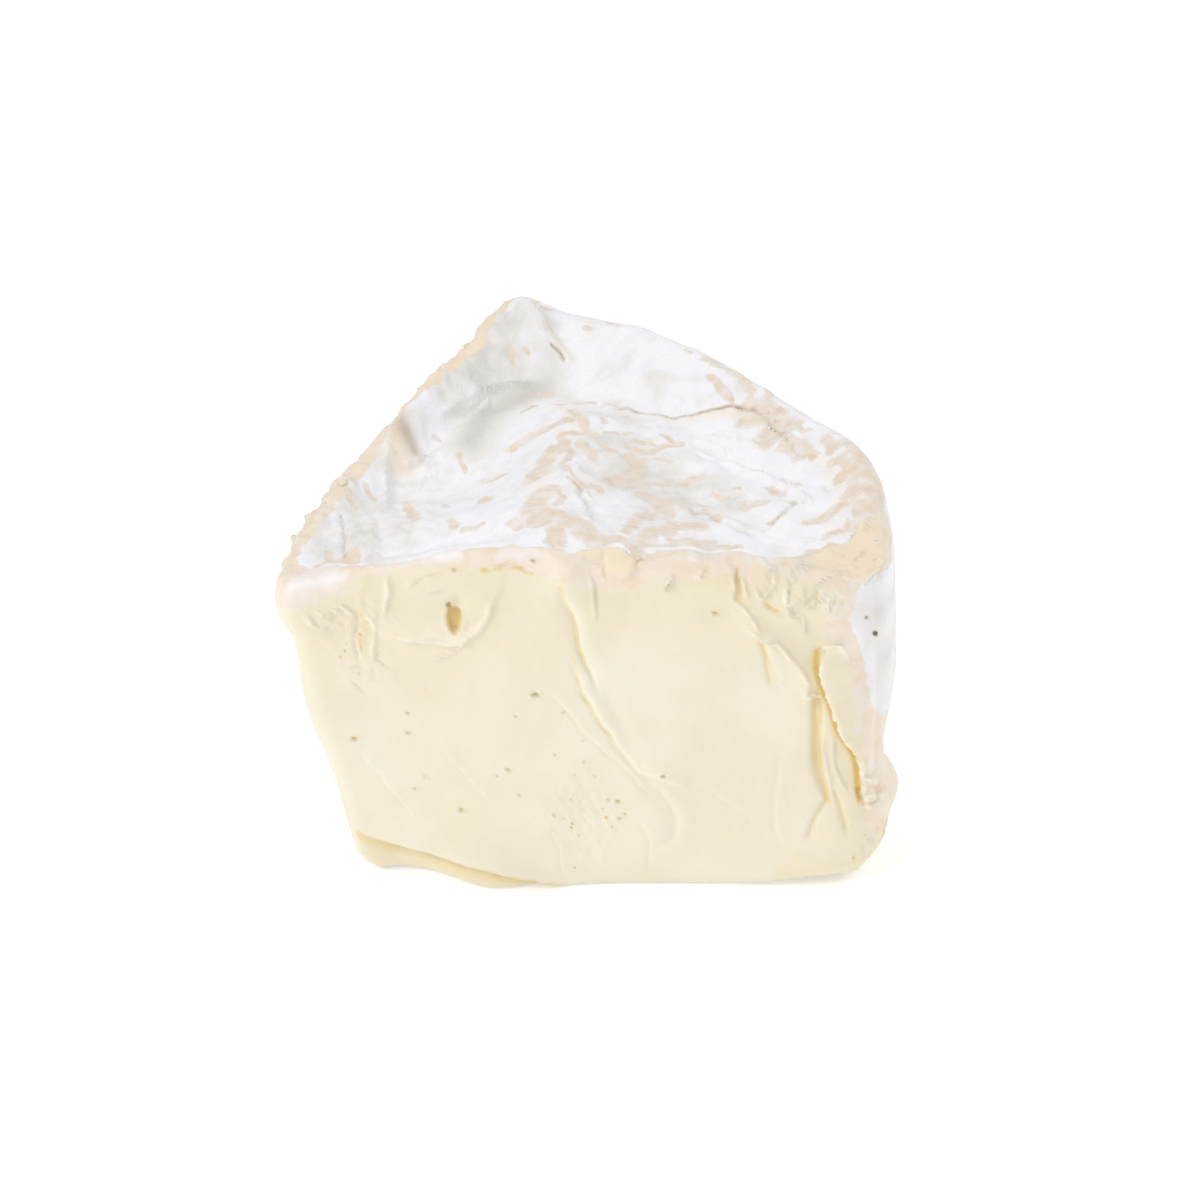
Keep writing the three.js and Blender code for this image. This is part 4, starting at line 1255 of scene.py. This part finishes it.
def bloom_field(x, y, z, known, inner, fray):
    """White bloom on the top, the rind wall and the base."""
    crown = known["crown"]
    on_top = smooth(0, 0.25, crown)
    started = smooth(-0.9, 0.7, side_of(BLOOM_START, x, z) + 0.5 * fray) * smooth(17, 22, z)
    started = strongest(started, smooth(9, 12, y + 0.5 * fray))
    wall = strongest(smooth(0.2, 0.6, known["wall"]), torn_corner(x, y)) * started
    return strongest(inner * on_top, wall * (1 - on_top * (1 - inner)), smooth(-0.35, -0.75, crown))


def cut_edge_field(x, z, known, flap, fray):
    """The rind's cut edge, a beige band round both cuts, and the torn flap and knob."""
    soft = mix(0.3, 1.6, smooth(30, 40, x))
    band = smooth(-soft, soft, z - np.interp(x, BAND_EDGE[:, 0], BAND_EDGE[:, 1]) + fray)
    back_band = smooth(3.6, 3, known["below"] + 0.6 * ripple(known["from_tip"], z, 3, 7))
    foot_band = smooth(1.9, 1.4, z + 0.3 * ripple(known["from_tip"], z, 3, 9))
    knob = smooth(1.3, 0.9, ellipse(x, z, (62.7, 9.8), (1.9, 4.2)) + 0.5 * fray)
    elsewhere = 1 - np.maximum(known["front"], known["wall"])
    field = strongest(
        known["front"] * band,
        elsewhere * strongest(back_band, foot_band),
        smooth(0, 0.3, known["crown"]),
        flap * smooth(11, 13, z) * smooth(36, 34, z),
        knob * smooth(58, 60, x),
    )
    return field, band


def colour_fields(points, known):
    """What the materials read, for every point of the skin."""
    x, y, z = points.T
    crown, front = known["crown"], known["front"]
    in_front = np.maximum(front, torn_corner(x, y))
    on_top = smooth(0, 0.25, crown)
    fray = 0.3 * ripple(x, z, 1.8, 5) + 0.2 * ripple(x, z, 0.8, 6)

    left_edge = side_of(LEFT_BAND, x, y) + 0.15 * ripple(x, y, 1.6, 22)
    inner = smooth(-0.12, 0.12, side_of(LIP, x, y) + 0.12 * ripple(x, y, 2, 21))
    inner *= smooth(-0.8, 0.7, left_edge)
    lobes = lobe_field(x, seen_height(y, z)) * in_front * smooth(9, 6, y)
    bloom = bloom_field(x, y, z, known, inner, fray) * (1 - smooth(0.1, 0.3, lobes))
    flap = smooth(-0.5, 0.5, side_of(FLAP_SKIN, x, z) + fray) * smooth(50, 54, x)
    cut_edge, band = cut_edge_field(x, z, known, flap, fray)

    shoulder = smooth(52, 58, x) * smooth(0.1, 0.4, crown) * (1 - inner)
    honey = strongest(0.8 * beside(YELLOW_EDGE, x, y, 0, 1.3), 0.35 + 0.25 * ripple(x, y, 3, 24))
    honey *= smooth(0.3, -0.3, left_edge) * on_top
    ripe = ripe_and_shaded_cuts(x, z, known, in_front) * (1 - 0.8 * flap * smooth(20, 24, z))

    scratched = strongest(*(bell(ellipse(x, z, at, size) ** 2) for at, size in SCRATCHES))
    scratched *= in_front * (1 - band)
    edge_grain = mix(0.6, 0.3, smooth(50, 54, x) * front) * cut_edge * (1 - bloom)
    grain = strongest(0.8 * scratched, edge_grain, 0.22 * bloom, shoulder)
    crack = near_line(CRACK, x, y, 4, lambda d, a, s: bell(d / 0.7) * smooth(0.5, 0.7, a))
    rubbed = 0.25 * smooth(0, -0.4, left_edge) + 0.1 * shoulder
    # painted highlight along the flap's torn edge
    torn = beside(TEAR_EDGE, x, z, 0.3, 0.3) * below_flap_top(x, z) * front
    return {
        "bloom": bloom,
        "cut_edge": cut_edge,
        "worn": worn_field(x, y, known),
        # brown stain, with painted shade in pits, cracks, pores and the flap's gap
        "stain": stain_and_shade_field(x, y, z, known),
        # thin grey bloom, with painted shade in the moat and the top's hollows
        "thin": thin_and_shaded_field(x, y, known),
        # riper paste, with golden painted shade in hollows, the flap's gap and under the lower edge
        "ripe": strongest(ripe, honey, 0.8 * shoulder),
        "grain": np.maximum(LEAST_GRAIN, grain),
        "litter": 0.8 * scratched * smooth(-0.5, 0, crown),
        "flakes": np.maximum(1.8 * crack * smooth(0.8, 1, crown), rubbed * smooth(0.1, 0.4, crown)),
        "veil": front * strokes(x + fray, z + 0.5 * fray, WHITE_PATCHES),
        "cream": strokes(x, y, CREAM_STROKES) * smooth(0.3, 0.8, crown),
        # painted highlight on raised ridges and the torn edge
        "raised": np.maximum(known["raised"], torn),
        "lobes": lobes,
    }


# ---------------------------------------------------------------- materials
def shade(red, green, blue):
    """A colour given as it is seen, 0 to 255, as the shader's own numbers."""
    seen = np.array([red, green, blue]) / 255
    linear = np.where(seen <= 0.04045, seen / 12.92, ((seen + 0.055) / 1.055) ** 2.4)
    return (*linear, 1.0)


PASTE = shade(233, 226, 204)
DRY_PASTE = shade(236, 230, 211)
# riper paste, also used for golden painted shade in hollows, gaps and under the lower edge
RIPE_PASTE = shade(228, 202, 138)
SMEARED_PASTE = shade(238, 225, 196)
RIDGE_HIGHLIGHT_PASTE = shade(245, 239, 219)  # painted highlight on thin ridges and torn edges
# dark gold: painted shade in the paste's pores, the gas hole and the gap beside the flap
DEEP_GOLD = shade(206, 168, 80)
CUT_RIND = shade(237, 225, 212)
CUT_RIND_TAN = shade(234, 215, 194)
HONEY_RIND = shade(238, 223, 197)
CREAM_BLOOM = shade(246, 233, 216)
BLOOM = shade(244, 244, 247)
# grey of thin bloom, also painted shade on the peak's face; then painted shade, darkest in the moat
THIN_AND_SHADED_BLOOM = shade(231, 229, 225)
PAINTED_SHADE_BLOOM = shade(206, 203, 197)
WORN_SKIN = shade(234, 221, 206)
WORN_TAN = shade(228, 209, 188)
WORN_EDGE = shade(216, 196, 176)  # a worn place's rim is darker
# brown stain, also painted shade in pits and cracks of the rind
BROWN_STAIN_AND_SHADE = shade(182, 153, 118)
# painted shade in a deep pore of the rind wall
PORE_SHADE_GREY = shade(92, 88, 80)


class Nodes:
    """A tree of nodes, with short calls to add them."""

    def __init__(self, tree):
        self.tree = tree

    def add(self, kind, inputs=(), **settings):
        """A new node with its settings, and with a value or a link for each input given."""
        node = self.tree.nodes.new(kind)
        for key, value in settings.items():
            setattr(node, key, value)
        for key, value in dict(inputs).items():
            if isinstance(value, bpy.types.NodeSocket):
                self.tree.links.new(value, node.inputs[key])
            else:
                node.inputs[key].default_value = value
        return node

    def math(self, operation, one, two):
        return self.add("ShaderNodeMath", {0: one, 1: two}, operation=operation).outputs[0]

    def plus(self, one, two):
        return self.math("ADD", one, two)

    def minus(self, one, two):
        return self.math("SUBTRACT", one, two)

    def times(self, one, two):
        return self.math("MULTIPLY", one, two)

    def wobble(self, noise, amount):
        """Noise turned into a shift to both sides of zero."""
        return self.times(self.minus(noise, 0.5), amount)


class Paint(Nodes):
    """A material that is laid on in layers of colour."""

    def __init__(self, name):
        self.material = bpy.data.materials.new(name)
        self.material.use_nodes = True
        super().__init__(self.material.node_tree)
        self.tree.nodes.clear()
        self.place = self.add("ShaderNodeTexCoord").outputs["Object"]

    def field(self, name):
        return self.add("ShaderNodeAttribute", attribute_name=name).outputs["Fac"]

    def noise(self, size, detail, stretch=(1, 1, 1)):
        """Noise whose lumps are about `size` millimetres across."""
        place = self.add("ShaderNodeMapping", {"Vector": self.place, "Scale": stretch})
        inputs = {"Vector": place.outputs[0], "Scale": 1 / (size * MM), "Detail": detail}
        return self.add("ShaderNodeTexNoise", inputs).outputs["Fac"]

    def ramp(self, value, low, high, to_low=0.0, to_high=1.0):
        inputs = {"Value": value, 1: low, 2: high, 3: to_low, 4: to_high}
        node = self.add("ShaderNodeMapRange", inputs, interpolation_type="SMOOTHSTEP")
        return node.outputs["Result"]

    def blend(self, share, one, two):
        node = self.add("ShaderNodeMix", {0: share, 6: one, 7: two}, data_type="RGBA")
        return node.outputs[2]

    def over(self, colour, layer, field, low=0.0, high=1.0, most=1.0):
        """A colour with a layer laid over it as a field rises from low to high."""
        return self.blend(self.ramp(field, low, high, 0.0, most), colour, layer)

    def frayed(self, field, noise, amount, soft):
        """A field drawn towards 0 or 1, with its edge frayed by noise."""
        return self.ramp(self.plus(field, self.wobble(noise, amount)), 0.5 - soft, 0.5 + soft)

    def cover(self, inputs):
        """Ends the tree in a shader with these inputs."""
        shader = self.add("ShaderNodeBsdfPrincipled", inputs)
        self.add("ShaderNodeOutputMaterial", {"Surface": shader.outputs[0]})
        return self.material

    def finish(self, colour, roughness, height, relief, soft):
        """Cheese of this colour, with `relief` the bumps' depth in millimetres."""
        bump = self.add("ShaderNodeBump", {"Height": height, "Distance": relief * MM})
        return self.cover(
            {
                "Base Color": colour,
                "Roughness": roughness,
                "Normal": bump.outputs[0],
                "Specular IOR Level": 0.35,
                "Subsurface Weight": soft,
                "Subsurface Radius": (1.0, 0.75, 0.45),
                "Subsurface Scale": 0.6 * MM,
            }
        )


def cheese_material():
    """Paste, the rind's cut edge and the bloom, laid over one another by the skin's fields, with
    shade and highlights painted in.
    """
    p = Paint("ripe paste under white bloom")
    ragged, fine, stain = p.noise(1.3, 5), p.noise(0.3, 4), p.field("stain")
    ripe = p.plus(p.field("ripe"), p.wobble(ragged, 0.2))

    paste = p.over(PASTE, DRY_PASTE, p.noise(9, 2), 0.35, 0.65)
    # riper yellow, and golden painted shade in hollows, the flap's gap and under the lower edge
    paste = p.over(paste, RIPE_PASTE, ripe)
    # dark gold painted shade in pores, the gas hole and the flap's gap
    paste = p.over(paste, DEEP_GOLD, stain, 0.2)

    edge = p.over(CUT_RIND, CUT_RIND_TAN, p.noise(2.2, 4), 0.42, 0.7)
    edge = p.over(edge, HONEY_RIND, ripe, 0.05, 0.95)
    # brown stain and painted shade on the cut edge
    edge = p.over(edge, BROWN_STAIN_AND_SHADE, stain, 0.2, 1.2)

    # thin grey bloom, and painted shade: darker in the moat, the top's hollows and on the peak's
    # face
    thin = p.plus(p.field("thin"), p.wobble(p.noise(4, 4), 0.5))
    white = p.over(BLOOM, THIN_AND_SHADED_BLOOM, thin, 0.0, 0.7)
    white = p.over(white, PAINTED_SHADE_BLOOM, thin, 0.55, 1.1)
    white = p.over(white, CREAM_BLOOM, p.field("cream"), 0.1)

    blotches = p.plus(p.times(p.noise(2, 3), 0.5), p.times(fine, 0.5))
    worn = p.frayed(p.field("worn"), blotches, 0.9, 0.26)
    tan = p.over(WORN_SKIN, WORN_TAN, p.noise(1.6, 4), 0.35, 0.7)
    tan = p.over(tan, WORN_EDGE, p.times(worn, p.minus(1.0, worn)), 0.1, 0.25, 0.6)
    worn = p.times(worn, p.ramp(ragged, 0.3, 0.62, 0.45, 1.0))
    rind = p.blend(worn, white, tan)
    # brown stain and painted shade in pits and cracks, and near black painted shade in a deep pore
    rind = p.over(rind, BROWN_STAIN_AND_SHADE, stain, 0.1)
    rind = p.over(rind, PORE_SHADE_GREY, stain, 1.2, 2.0)

    cut = p.blend(p.frayed(p.field("cut_edge"), ragged, 0.6, 0.25), paste, edge)
    cut = p.over(cut, BLOOM, p.field("veil"))
    cut = p.over(cut, SMEARED_PASTE, p.field("lobes"), 0.1, 0.5, 0.85)
    # painted highlight on raised ridges and the torn edge
    cut = p.over(cut, RIDGE_HIGHLIGHT_PASTE, p.field("raised"), 0.2, 1.0, 0.8)
    on_rind = p.frayed(p.field("bloom"), ragged, 0.4, 0.16)

    roughness = p.plus(0.45, p.times(on_rind, 0.4))
    velvet = p.times(fine, p.plus(0.25, on_rind))
    knife_drag = p.times(p.noise(2.4, 3, (1, 1, 0.25)), 0.5)
    height = p.minus(p.plus(velvet, knife_drag), p.times(worn, 0.5))
    return p.finish(p.blend(on_rind, cut, rind), roughness, height, 0.1, 0.12)


def crumb_material(name, one, two, lump, spread, roughness, grain, relief, soft):
    """Two blotchy colours on small loose pieces, their lumps and grain in millimetres."""
    p = Paint(name)
    colour = p.over(one, two, p.noise(lump, 3), 0.5 - spread, 0.5 + spread)
    return p.finish(colour, roughness, p.noise(grain, 4), relief, soft)


# ---------------------------------------------------------------- meshes and node trees
def mesh_piece(name, points, faces, fields, material):
    """A smooth-shaded mesh object from points in millimetres from the tip."""
    mesh = bpy.data.meshes.new(name)
    places = (points - BASE_MIDDLE) * MM
    mesh.from_pydata(places.tolist(), [], [tuple(f) for f in faces])
    mesh.shade_smooth()
    for key, values in fields.items():
        layer = mesh.attributes.new(key, "FLOAT", "POINT")
        layer.data.foreach_set("value", np.asarray(values, np.float32))
    mesh.materials.append(material)
    piece = bpy.data.objects.new(name, mesh)
    bpy.context.scene.collection.objects.link(piece)
    return piece


class Tree(Nodes):
    """A Geometry Nodes tree with named inputs for its sizes."""

    def __init__(self, name, *numbers, **others):
        """Its inputs are numbers, the others that are given with their kind, and a material."""
        super().__init__(bpy.data.node_groups.new(name, "GeometryNodeTree"))
        kinds = {**dict.fromkeys(numbers, "Float"), **others, "Material": "Material"}
        sockets = self.tree.interface
        sockets.new_socket("Geometry", in_out="INPUT", socket_type="NodeSocketGeometry")
        self.inputs = {
            key: sockets.new_socket(
                key.replace("_", " "), in_out="INPUT", socket_type="NodeSocket" + kind
            )
            for key, kind in kinds.items()
        }
        sockets.new_socket("Geometry", in_out="OUTPUT", socket_type="NodeSocketGeometry")
        self.given = self.add("NodeGroupInput").outputs

    def __getitem__(self, key):
        return self.given[key.replace("_", " ")]

    def field(self, name):
        node = self.add("GeometryNodeInputNamedAttribute", {"Name": name}, data_type="FLOAT")
        return node.outputs["Attribute"]

    def bumps(self, scale, detail, height):
        """Lumps to both sides of zero, by each point's own place."""
        place = self.add("GeometryNodeInputPosition").outputs[0]
        inputs = {"Vector": place, "Scale": scale, "Detail": detail}
        return self.wobble(self.add("ShaderNodeTexNoise", inputs).outputs["Fac"], height)

    def raised(self, geometry, height):
        """The geometry with each point moved along its normal."""
        normal = self.add("GeometryNodeInputNormal").outputs[0]
        offset = self.add("ShaderNodeVectorMath", {0: normal, "Scale": height}, operation="SCALE")
        inputs = {"Geometry": geometry, "Offset": offset.outputs[0]}
        return self.add("GeometryNodeSetPosition", inputs).outputs[0]

    def realized(self, geometry):
        return self.add("GeometryNodeRealizeInstances", {"Geometry": geometry}).outputs[0]

    def finish(self, geometry):
        inputs = {"Geometry": self.realized(geometry), "Material": self["Material"]}
        self.add("NodeGroupOutput", {0: self.add("GeometryNodeSetMaterial", inputs).outputs[0]})

    def apply(self, piece, name, **values):
        """Runs the tree on a copy of a piece, and returns the result as a plain mesh."""
        copy = bpy.data.objects.new(name, piece.data)
        bpy.context.scene.collection.objects.link(copy)
        modifier = copy.modifiers.new(self.tree.name, "NODES")
        modifier.node_group = self.tree
        for key, value in values.items():
            modifier[self.inputs[key].identifier] = value
        graph = bpy.context.evaluated_depsgraph_get()
        mesh = bpy.data.meshes.new_from_object(
            copy.evaluated_get(graph), preserve_all_data_layers=True, depsgraph=graph
        )
        copy.modifiers.clear()
        copy.data = mesh
        mesh.name = name
        return copy


def grain_tree():
    """Raises a skin along its normals by lumps and grain, as much as its grain field says."""
    t = Tree("grain of the skin", "Lump_height", "Lump_scale", "Grain_height", "Grain_scale")
    lumps = t.bumps(t["Lump_scale"], 2.0, t["Lump_height"])
    grain = t.times(t.bumps(t["Grain_scale"], 3.0, t["Grain_height"]), t.field("grain"))
    t.finish(t.raised(t["Geometry"], t.plus(lumps, grain)))
    return t


CRUMB_SHAPE = (1.0, 0.8)  # a crumb's length and width, before its flatness
CRUMB_BUMP = 1 / 2.2  # across a crumb's bumps, in millimetres


def litter_tree():
    """Scatters rough crumbs over a skin where one of its fields says."""
    sizes = ("Flatness", "Density", "Least_size", "Most_size", "Roughness")
    t = Tree("litter of crumbs", *sizes, Where="String", Seed="Int")

    def random(kind, output, limits):
        inputs = {"Seed": t["Seed"], **limits}
        return t.add("FunctionNodeRandomValue", inputs, data_type=kind).outputs[output]

    density = t.times(t.field(t["Where"]), t["Density"])
    inputs = {"Mesh": t["Geometry"], "Density": density, "Seed": t["Seed"]}
    points = t.add("GeometryNodeDistributePointsOnFaces", inputs).outputs[0]
    size = random("FLOAT", 1, {2: t["Least_size"], 3: t["Most_size"]})
    turn = random("FLOAT_VECTOR", 0, {0: (0, 0, 0), 1: (6.28, 6.28, 6.28)})
    ball = t.add("GeometryNodeMeshIcoSphere", {"Radius": 1.0, "Subdivisions": 2}).outputs[0]
    length, width = CRUMB_SHAPE
    scale = t.add("ShaderNodeCombineXYZ", {"X": length, "Y": width, "Z": t["Flatness"]}).outputs[0]
    crumb = t.add("GeometryNodeTransform", {"Geometry": ball, "Scale": scale}).outputs[0]
    inputs = {"Points": points, "Instance": crumb, "Rotation": turn, "Scale": size}
    crumbs = t.realized(t.add("GeometryNodeInstanceOnPoints", inputs).outputs[0])
    t.finish(t.raised(crumbs, t.bumps(1 / (CRUMB_BUMP * MM), 2.0, t["Roughness"])))
    return t


# ---------------------------------------------------------------- the skin
TEAR_OVERHANG = 0.5  # how far the flap is drawn sideways
TEAR_FORWARD = 0.3  # and forwards
TEAR_SPREAD = 1.4
CRACK_OVERHANG = 0.35
CRACK_SPREAD = 1.2
HOLLOW_DEPTH = 0.35  # a place this deep counts as a full hollow
RAISED_HEIGHT = 0.4  # and one this high as fully raised


def drawn_back(line, x, y, spread):
    """How far (0 to 1) the surface on a line's left is drawn out over the line."""

    def shape(d, along, side):
        across = d * side
        return smooth(-0.1, 0.3, across) * bell(np.maximum(0, across) / spread) * ends_fade(along)

    return near_line(line, x, y, 3 * spread, shape)


def overhangs(points, known):
    """Draws the torn flap and the roll out over the gaps beside them."""
    x, y, z = points.T
    on_face = known["front"] * smooth(0.3, 0.0, known["crown"])
    torn = x + TEAR_JAG * ripple(x, z, 1.2, 33)
    flap = on_face * drawn_back(TEAR_EDGE, torn, z, TEAR_SPREAD)
    roll = drawn_back(CRACK, x, y, CRACK_SPREAD) * smooth(0.8, 1.0, known["crown"])
    forward = TEAR_FORWARD * flap + CRACK_OVERHANG * roll
    return np.column_stack([x - TEAR_OVERHANG * flap, y - forward, z])


def ragged_foot(points, known):
    """Crumbles the lower edge of the paste at the front corner."""
    x, y, z = points.T
    where = smooth(58.5, 61.5, x) * smooth(9, 5, y) * smooth(8, 3, z)
    where *= smooth(-1, -0.6, known["crown"])
    lump = where * (0.08 * ripple(x, z, 2.2, 91) + 0.12 * ripple(x + y, z, 1.2, 92))
    return np.column_stack([x + 1.6 * lump, y - lump, z])


def build_skin():
    """The skin's points, faces and fields of colour."""
    rings = ring_list()
    points, known = skin_points(rings)
    faces = skin_faces(rings)
    normals = corner_normals(points, faces)
    x, y, z = points.T
    crown, front, left = known["crown"], known["front"], known["left"]
    seen = seen_height(y, z)
    upright = smooth(0.5, 0.1, crown) * smooth(-0.7, -0.2, crown)
    over_edge = np.maximum(front, torn_corner(x, y)) * smooth(5.5, 4, known["inside"])
    over_edge *= smooth(-0.9, -0.5, crown)
    on_cut = front * upright * face_details(x, z) + over_edge * edge_details(x, y, seen)
    on_cut += left * upright * left_details(known["from_tip"], known["height"])
    relief = on_cut + smooth(0.3, 0.9, crown) * top_details(x, y)
    # hollows and raised places, which the materials turn into painted shade and a painted highlight
    known["hollow"] = clamp01(-relief / HOLLOW_DEPTH)
    known["raised"] = clamp01((on_cut - lobe_field(x, seen)) / RAISED_HEIGHT)
    rim = smooth(4, 1.5, known["inside"]) * smooth(3.5, 1, known["below"]) * left
    relief += rim * (0.15 * ripple(x, y, 3.8, 93) + 0.1 * ripple(x, y, 1.7, 94))
    points = points + normals * relief[:, None]
    fields = colour_fields(points, known)
    return ragged_foot(overhangs(points, known), known), faces, fields


cheese = cheese_material()
plain_skin = mesh_piece("plain_skin", *build_skin(), cheese)
skin = grain_tree().apply(
    plain_skin,
    "wedge_skin",
    Lump_height=0.22 * MM,
    Lump_scale=1 / (3.2 * MM),
    Grain_height=0.45 * MM,
    Grain_scale=1 / (0.9 * MM),
    Material=cheese,
)
bpy.data.objects.remove(plain_skin)

# ---------------------------------------------------------------- crumbs and flakes on the skin
litter = litter_tree()


def scatter(name, where, flatness, per_square_mm, most, seed, material):
    """Loose bits over the skin, up to `most` millimetres in half width."""
    return litter.apply(
        skin,
        name,
        Where=where,
        Flatness=flatness,
        Density=per_square_mm / MM**2,
        Least_size=0.1 * MM,
        Most_size=most * MM,
        Roughness=0.2 * MM,
        Seed=seed,
        Material=material,
    )


crumbs = scatter(
    "paste_crumbs",
    where="litter",
    flatness=0.6,
    per_square_mm=0.25,
    most=0.26,
    seed=4,
    material=crumb_material(
        "loose crumbs of paste", DRY_PASTE, RIPE_PASTE,
        lump=1.1, spread=0.2, roughness=0.5, grain=0.35, relief=0.1, soft=0.3,
    ),
)  # fmt: skip
flakes = scatter(
    "bloom_flakes",
    where="flakes",
    flatness=0.35,
    per_square_mm=0.6,
    most=0.3,
    seed=7,
    material=crumb_material(
        "flakes of bloom", BLOOM, WORN_SKIN,
        lump=0.9, spread=0.15, roughness=0.8, grain=0.3, relief=0.08, soft=0.2,
    ),
)  # fmt: skip

# ---------------------------------------------------------------- crumbs on the second cut's rim
RIM_CRUMBS = [  # plan place on the second cut's rim, half width
    (3.5, 13.0, 0.7),
    (2.1, 9.0, 0.7),
    (6.4, 19.8, 0.5),
    (19.2, 47.2, 0.5),
]


def ball(subdivisions):
    """Points and faces of a ball of radius 1."""
    shape = bmesh.new()
    bmesh.ops.create_icosphere(shape, subdivisions=subdivisions, radius=1)
    points = np.array([v.co[:] for v in shape.verts])
    faces = np.array([[v.index for v in f.verts] for f in shape.faces])
    shape.free()
    return points, faces


def joined(shapes):
    """Several shapes' points and faces as one."""
    points, faces, start = [], [], 0
    for some_points, some_faces in shapes:
        points.append(some_points)
        faces.append(some_faces + start)
        start += len(some_points)
    return np.vstack(points), np.vstack(faces)


def fall_on(surface, place, direction):
    """Where a ray through a place, started well outside, meets the surface."""
    start = (place - BASE_MIDDLE - 60 * direction) * MM
    hit = surface.ray_cast(Vector(start), Vector(direction))[0]
    return np.array(hit) / MM + BASE_MIDDLE if hit else place


def rim_crumb(surface, x, y, half):
    """A torn lump of rind and paste on the second cut's rim."""
    points, faces = ball(3)
    u, v, w = points.T
    seed = int(10 * y)
    rough = 1 + 0.22 * ripple(u + w, v - w, 1.1, seed) + 0.12 * ripple(u - w, v + w, 0.5, seed + 1)
    middle = fall_on(surface, np.array([x, y, WHEEL_HEIGHT]), np.array([0, 0, -1.0]))
    middle[2] -= 0.35 * half
    return middle + half * points * rough[:, None] * np.array([1.0, 1.5, 0.5]), faces


surface = BVHTree.FromObject(skin, bpy.context.evaluated_depsgraph_get())
points, faces = joined(rim_crumb(surface, *given) for given in RIM_CRUMBS)
torn_bits = crumb_material(
    "torn rind and paste", HONEY_RIND, DRY_PASTE,
    lump=1.2, spread=0.15, roughness=0.6, grain=0.4, relief=0.12, soft=0.2,
)  # fmt: skip
rim_crumbs = mesh_piece("rim_crumbs", points, faces, {}, torn_bits)

for piece in (skin, crumbs, flakes, rim_crumbs):
    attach(piece, "root")
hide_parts("cheese_wedge")

# ---------------------------------------------------------------- floor, light and camera
low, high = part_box("cheese_wedge")
MIDDLE_OF_WEDGE = (low + high) / 2
FLOOR_GLOW = 0.22  # a lit table, so that shadows on it stay pale
WORLD_LIGHT = 0.64


def floor_and_world():
    """A wide pale floor and even white light from all sides."""
    bpy.ops.mesh.primitive_plane_add(size=6, location=(0, 0, 0))
    floor = bpy.context.object
    floor.name = "floor"
    p = Paint("pale floor")
    tone = p.blend(p.noise(400, 1), shade(250, 250, 250), shade(252, 252, 252))
    glow = {"Emission Color": (1, 1, 1, 1), "Emission Strength": FLOOR_GLOW}
    floor.data.materials.append(p.cover({"Base Color": tone, "Roughness": 0.9, **glow}))
    world = bpy.data.worlds.new("studio")
    world.use_nodes = True
    backdrop = world.node_tree.nodes["Background"].inputs
    backdrop["Color"].default_value = (1, 1, 1, 1)
    backdrop["Strength"].default_value = WORLD_LIGHT
    bpy.context.scene.world = world


def soft_light(name, at, size, power):
    """A round light, turned to the wedge."""
    data = bpy.data.lights.new(name, "AREA")
    data.shape = "DISK"
    data.size = size
    data.energy = power
    light = bpy.data.objects.new(name, data)
    light.location = at
    light.rotation_euler = (MIDDLE_OF_WEDGE - light.location).to_track_quat("-Z", "Y").to_euler()
    bpy.context.scene.collection.objects.link(light)


CAMERA_ANGLE = math.radians(30)  # looking down
CAMERA_DISTANCE = 0.8
CAMERA_TARGET = Vector((0.001, -0.0277, 0.0348))
CAMERA_LENS = 232.8


def camera():
    """Looks down on the front cut from far off, through a long lens."""
    data = bpy.data.cameras.new("camera")
    data.lens = CAMERA_LENS
    data.clip_start, data.clip_end = 0.05, 20
    eye = bpy.data.objects.new("camera", data)
    back = Vector((0, -math.cos(CAMERA_ANGLE), math.sin(CAMERA_ANGLE)))
    eye.location = CAMERA_TARGET + CAMERA_DISTANCE * back
    eye.rotation_euler = (math.pi / 2 - CAMERA_ANGLE, 0, 0)
    bpy.context.scene.collection.objects.link(eye)
    bpy.context.scene.camera = eye


floor_and_world()
soft_light("high key light", at=(-0.42, -0.34, 0.5), size=0.36, power=1.85)
soft_light("right fill", at=(0.48, 0.12, 0.48), size=0.5, power=1.1)
camera()
bpy.context.scene.view_settings.view_transform = "Standard"
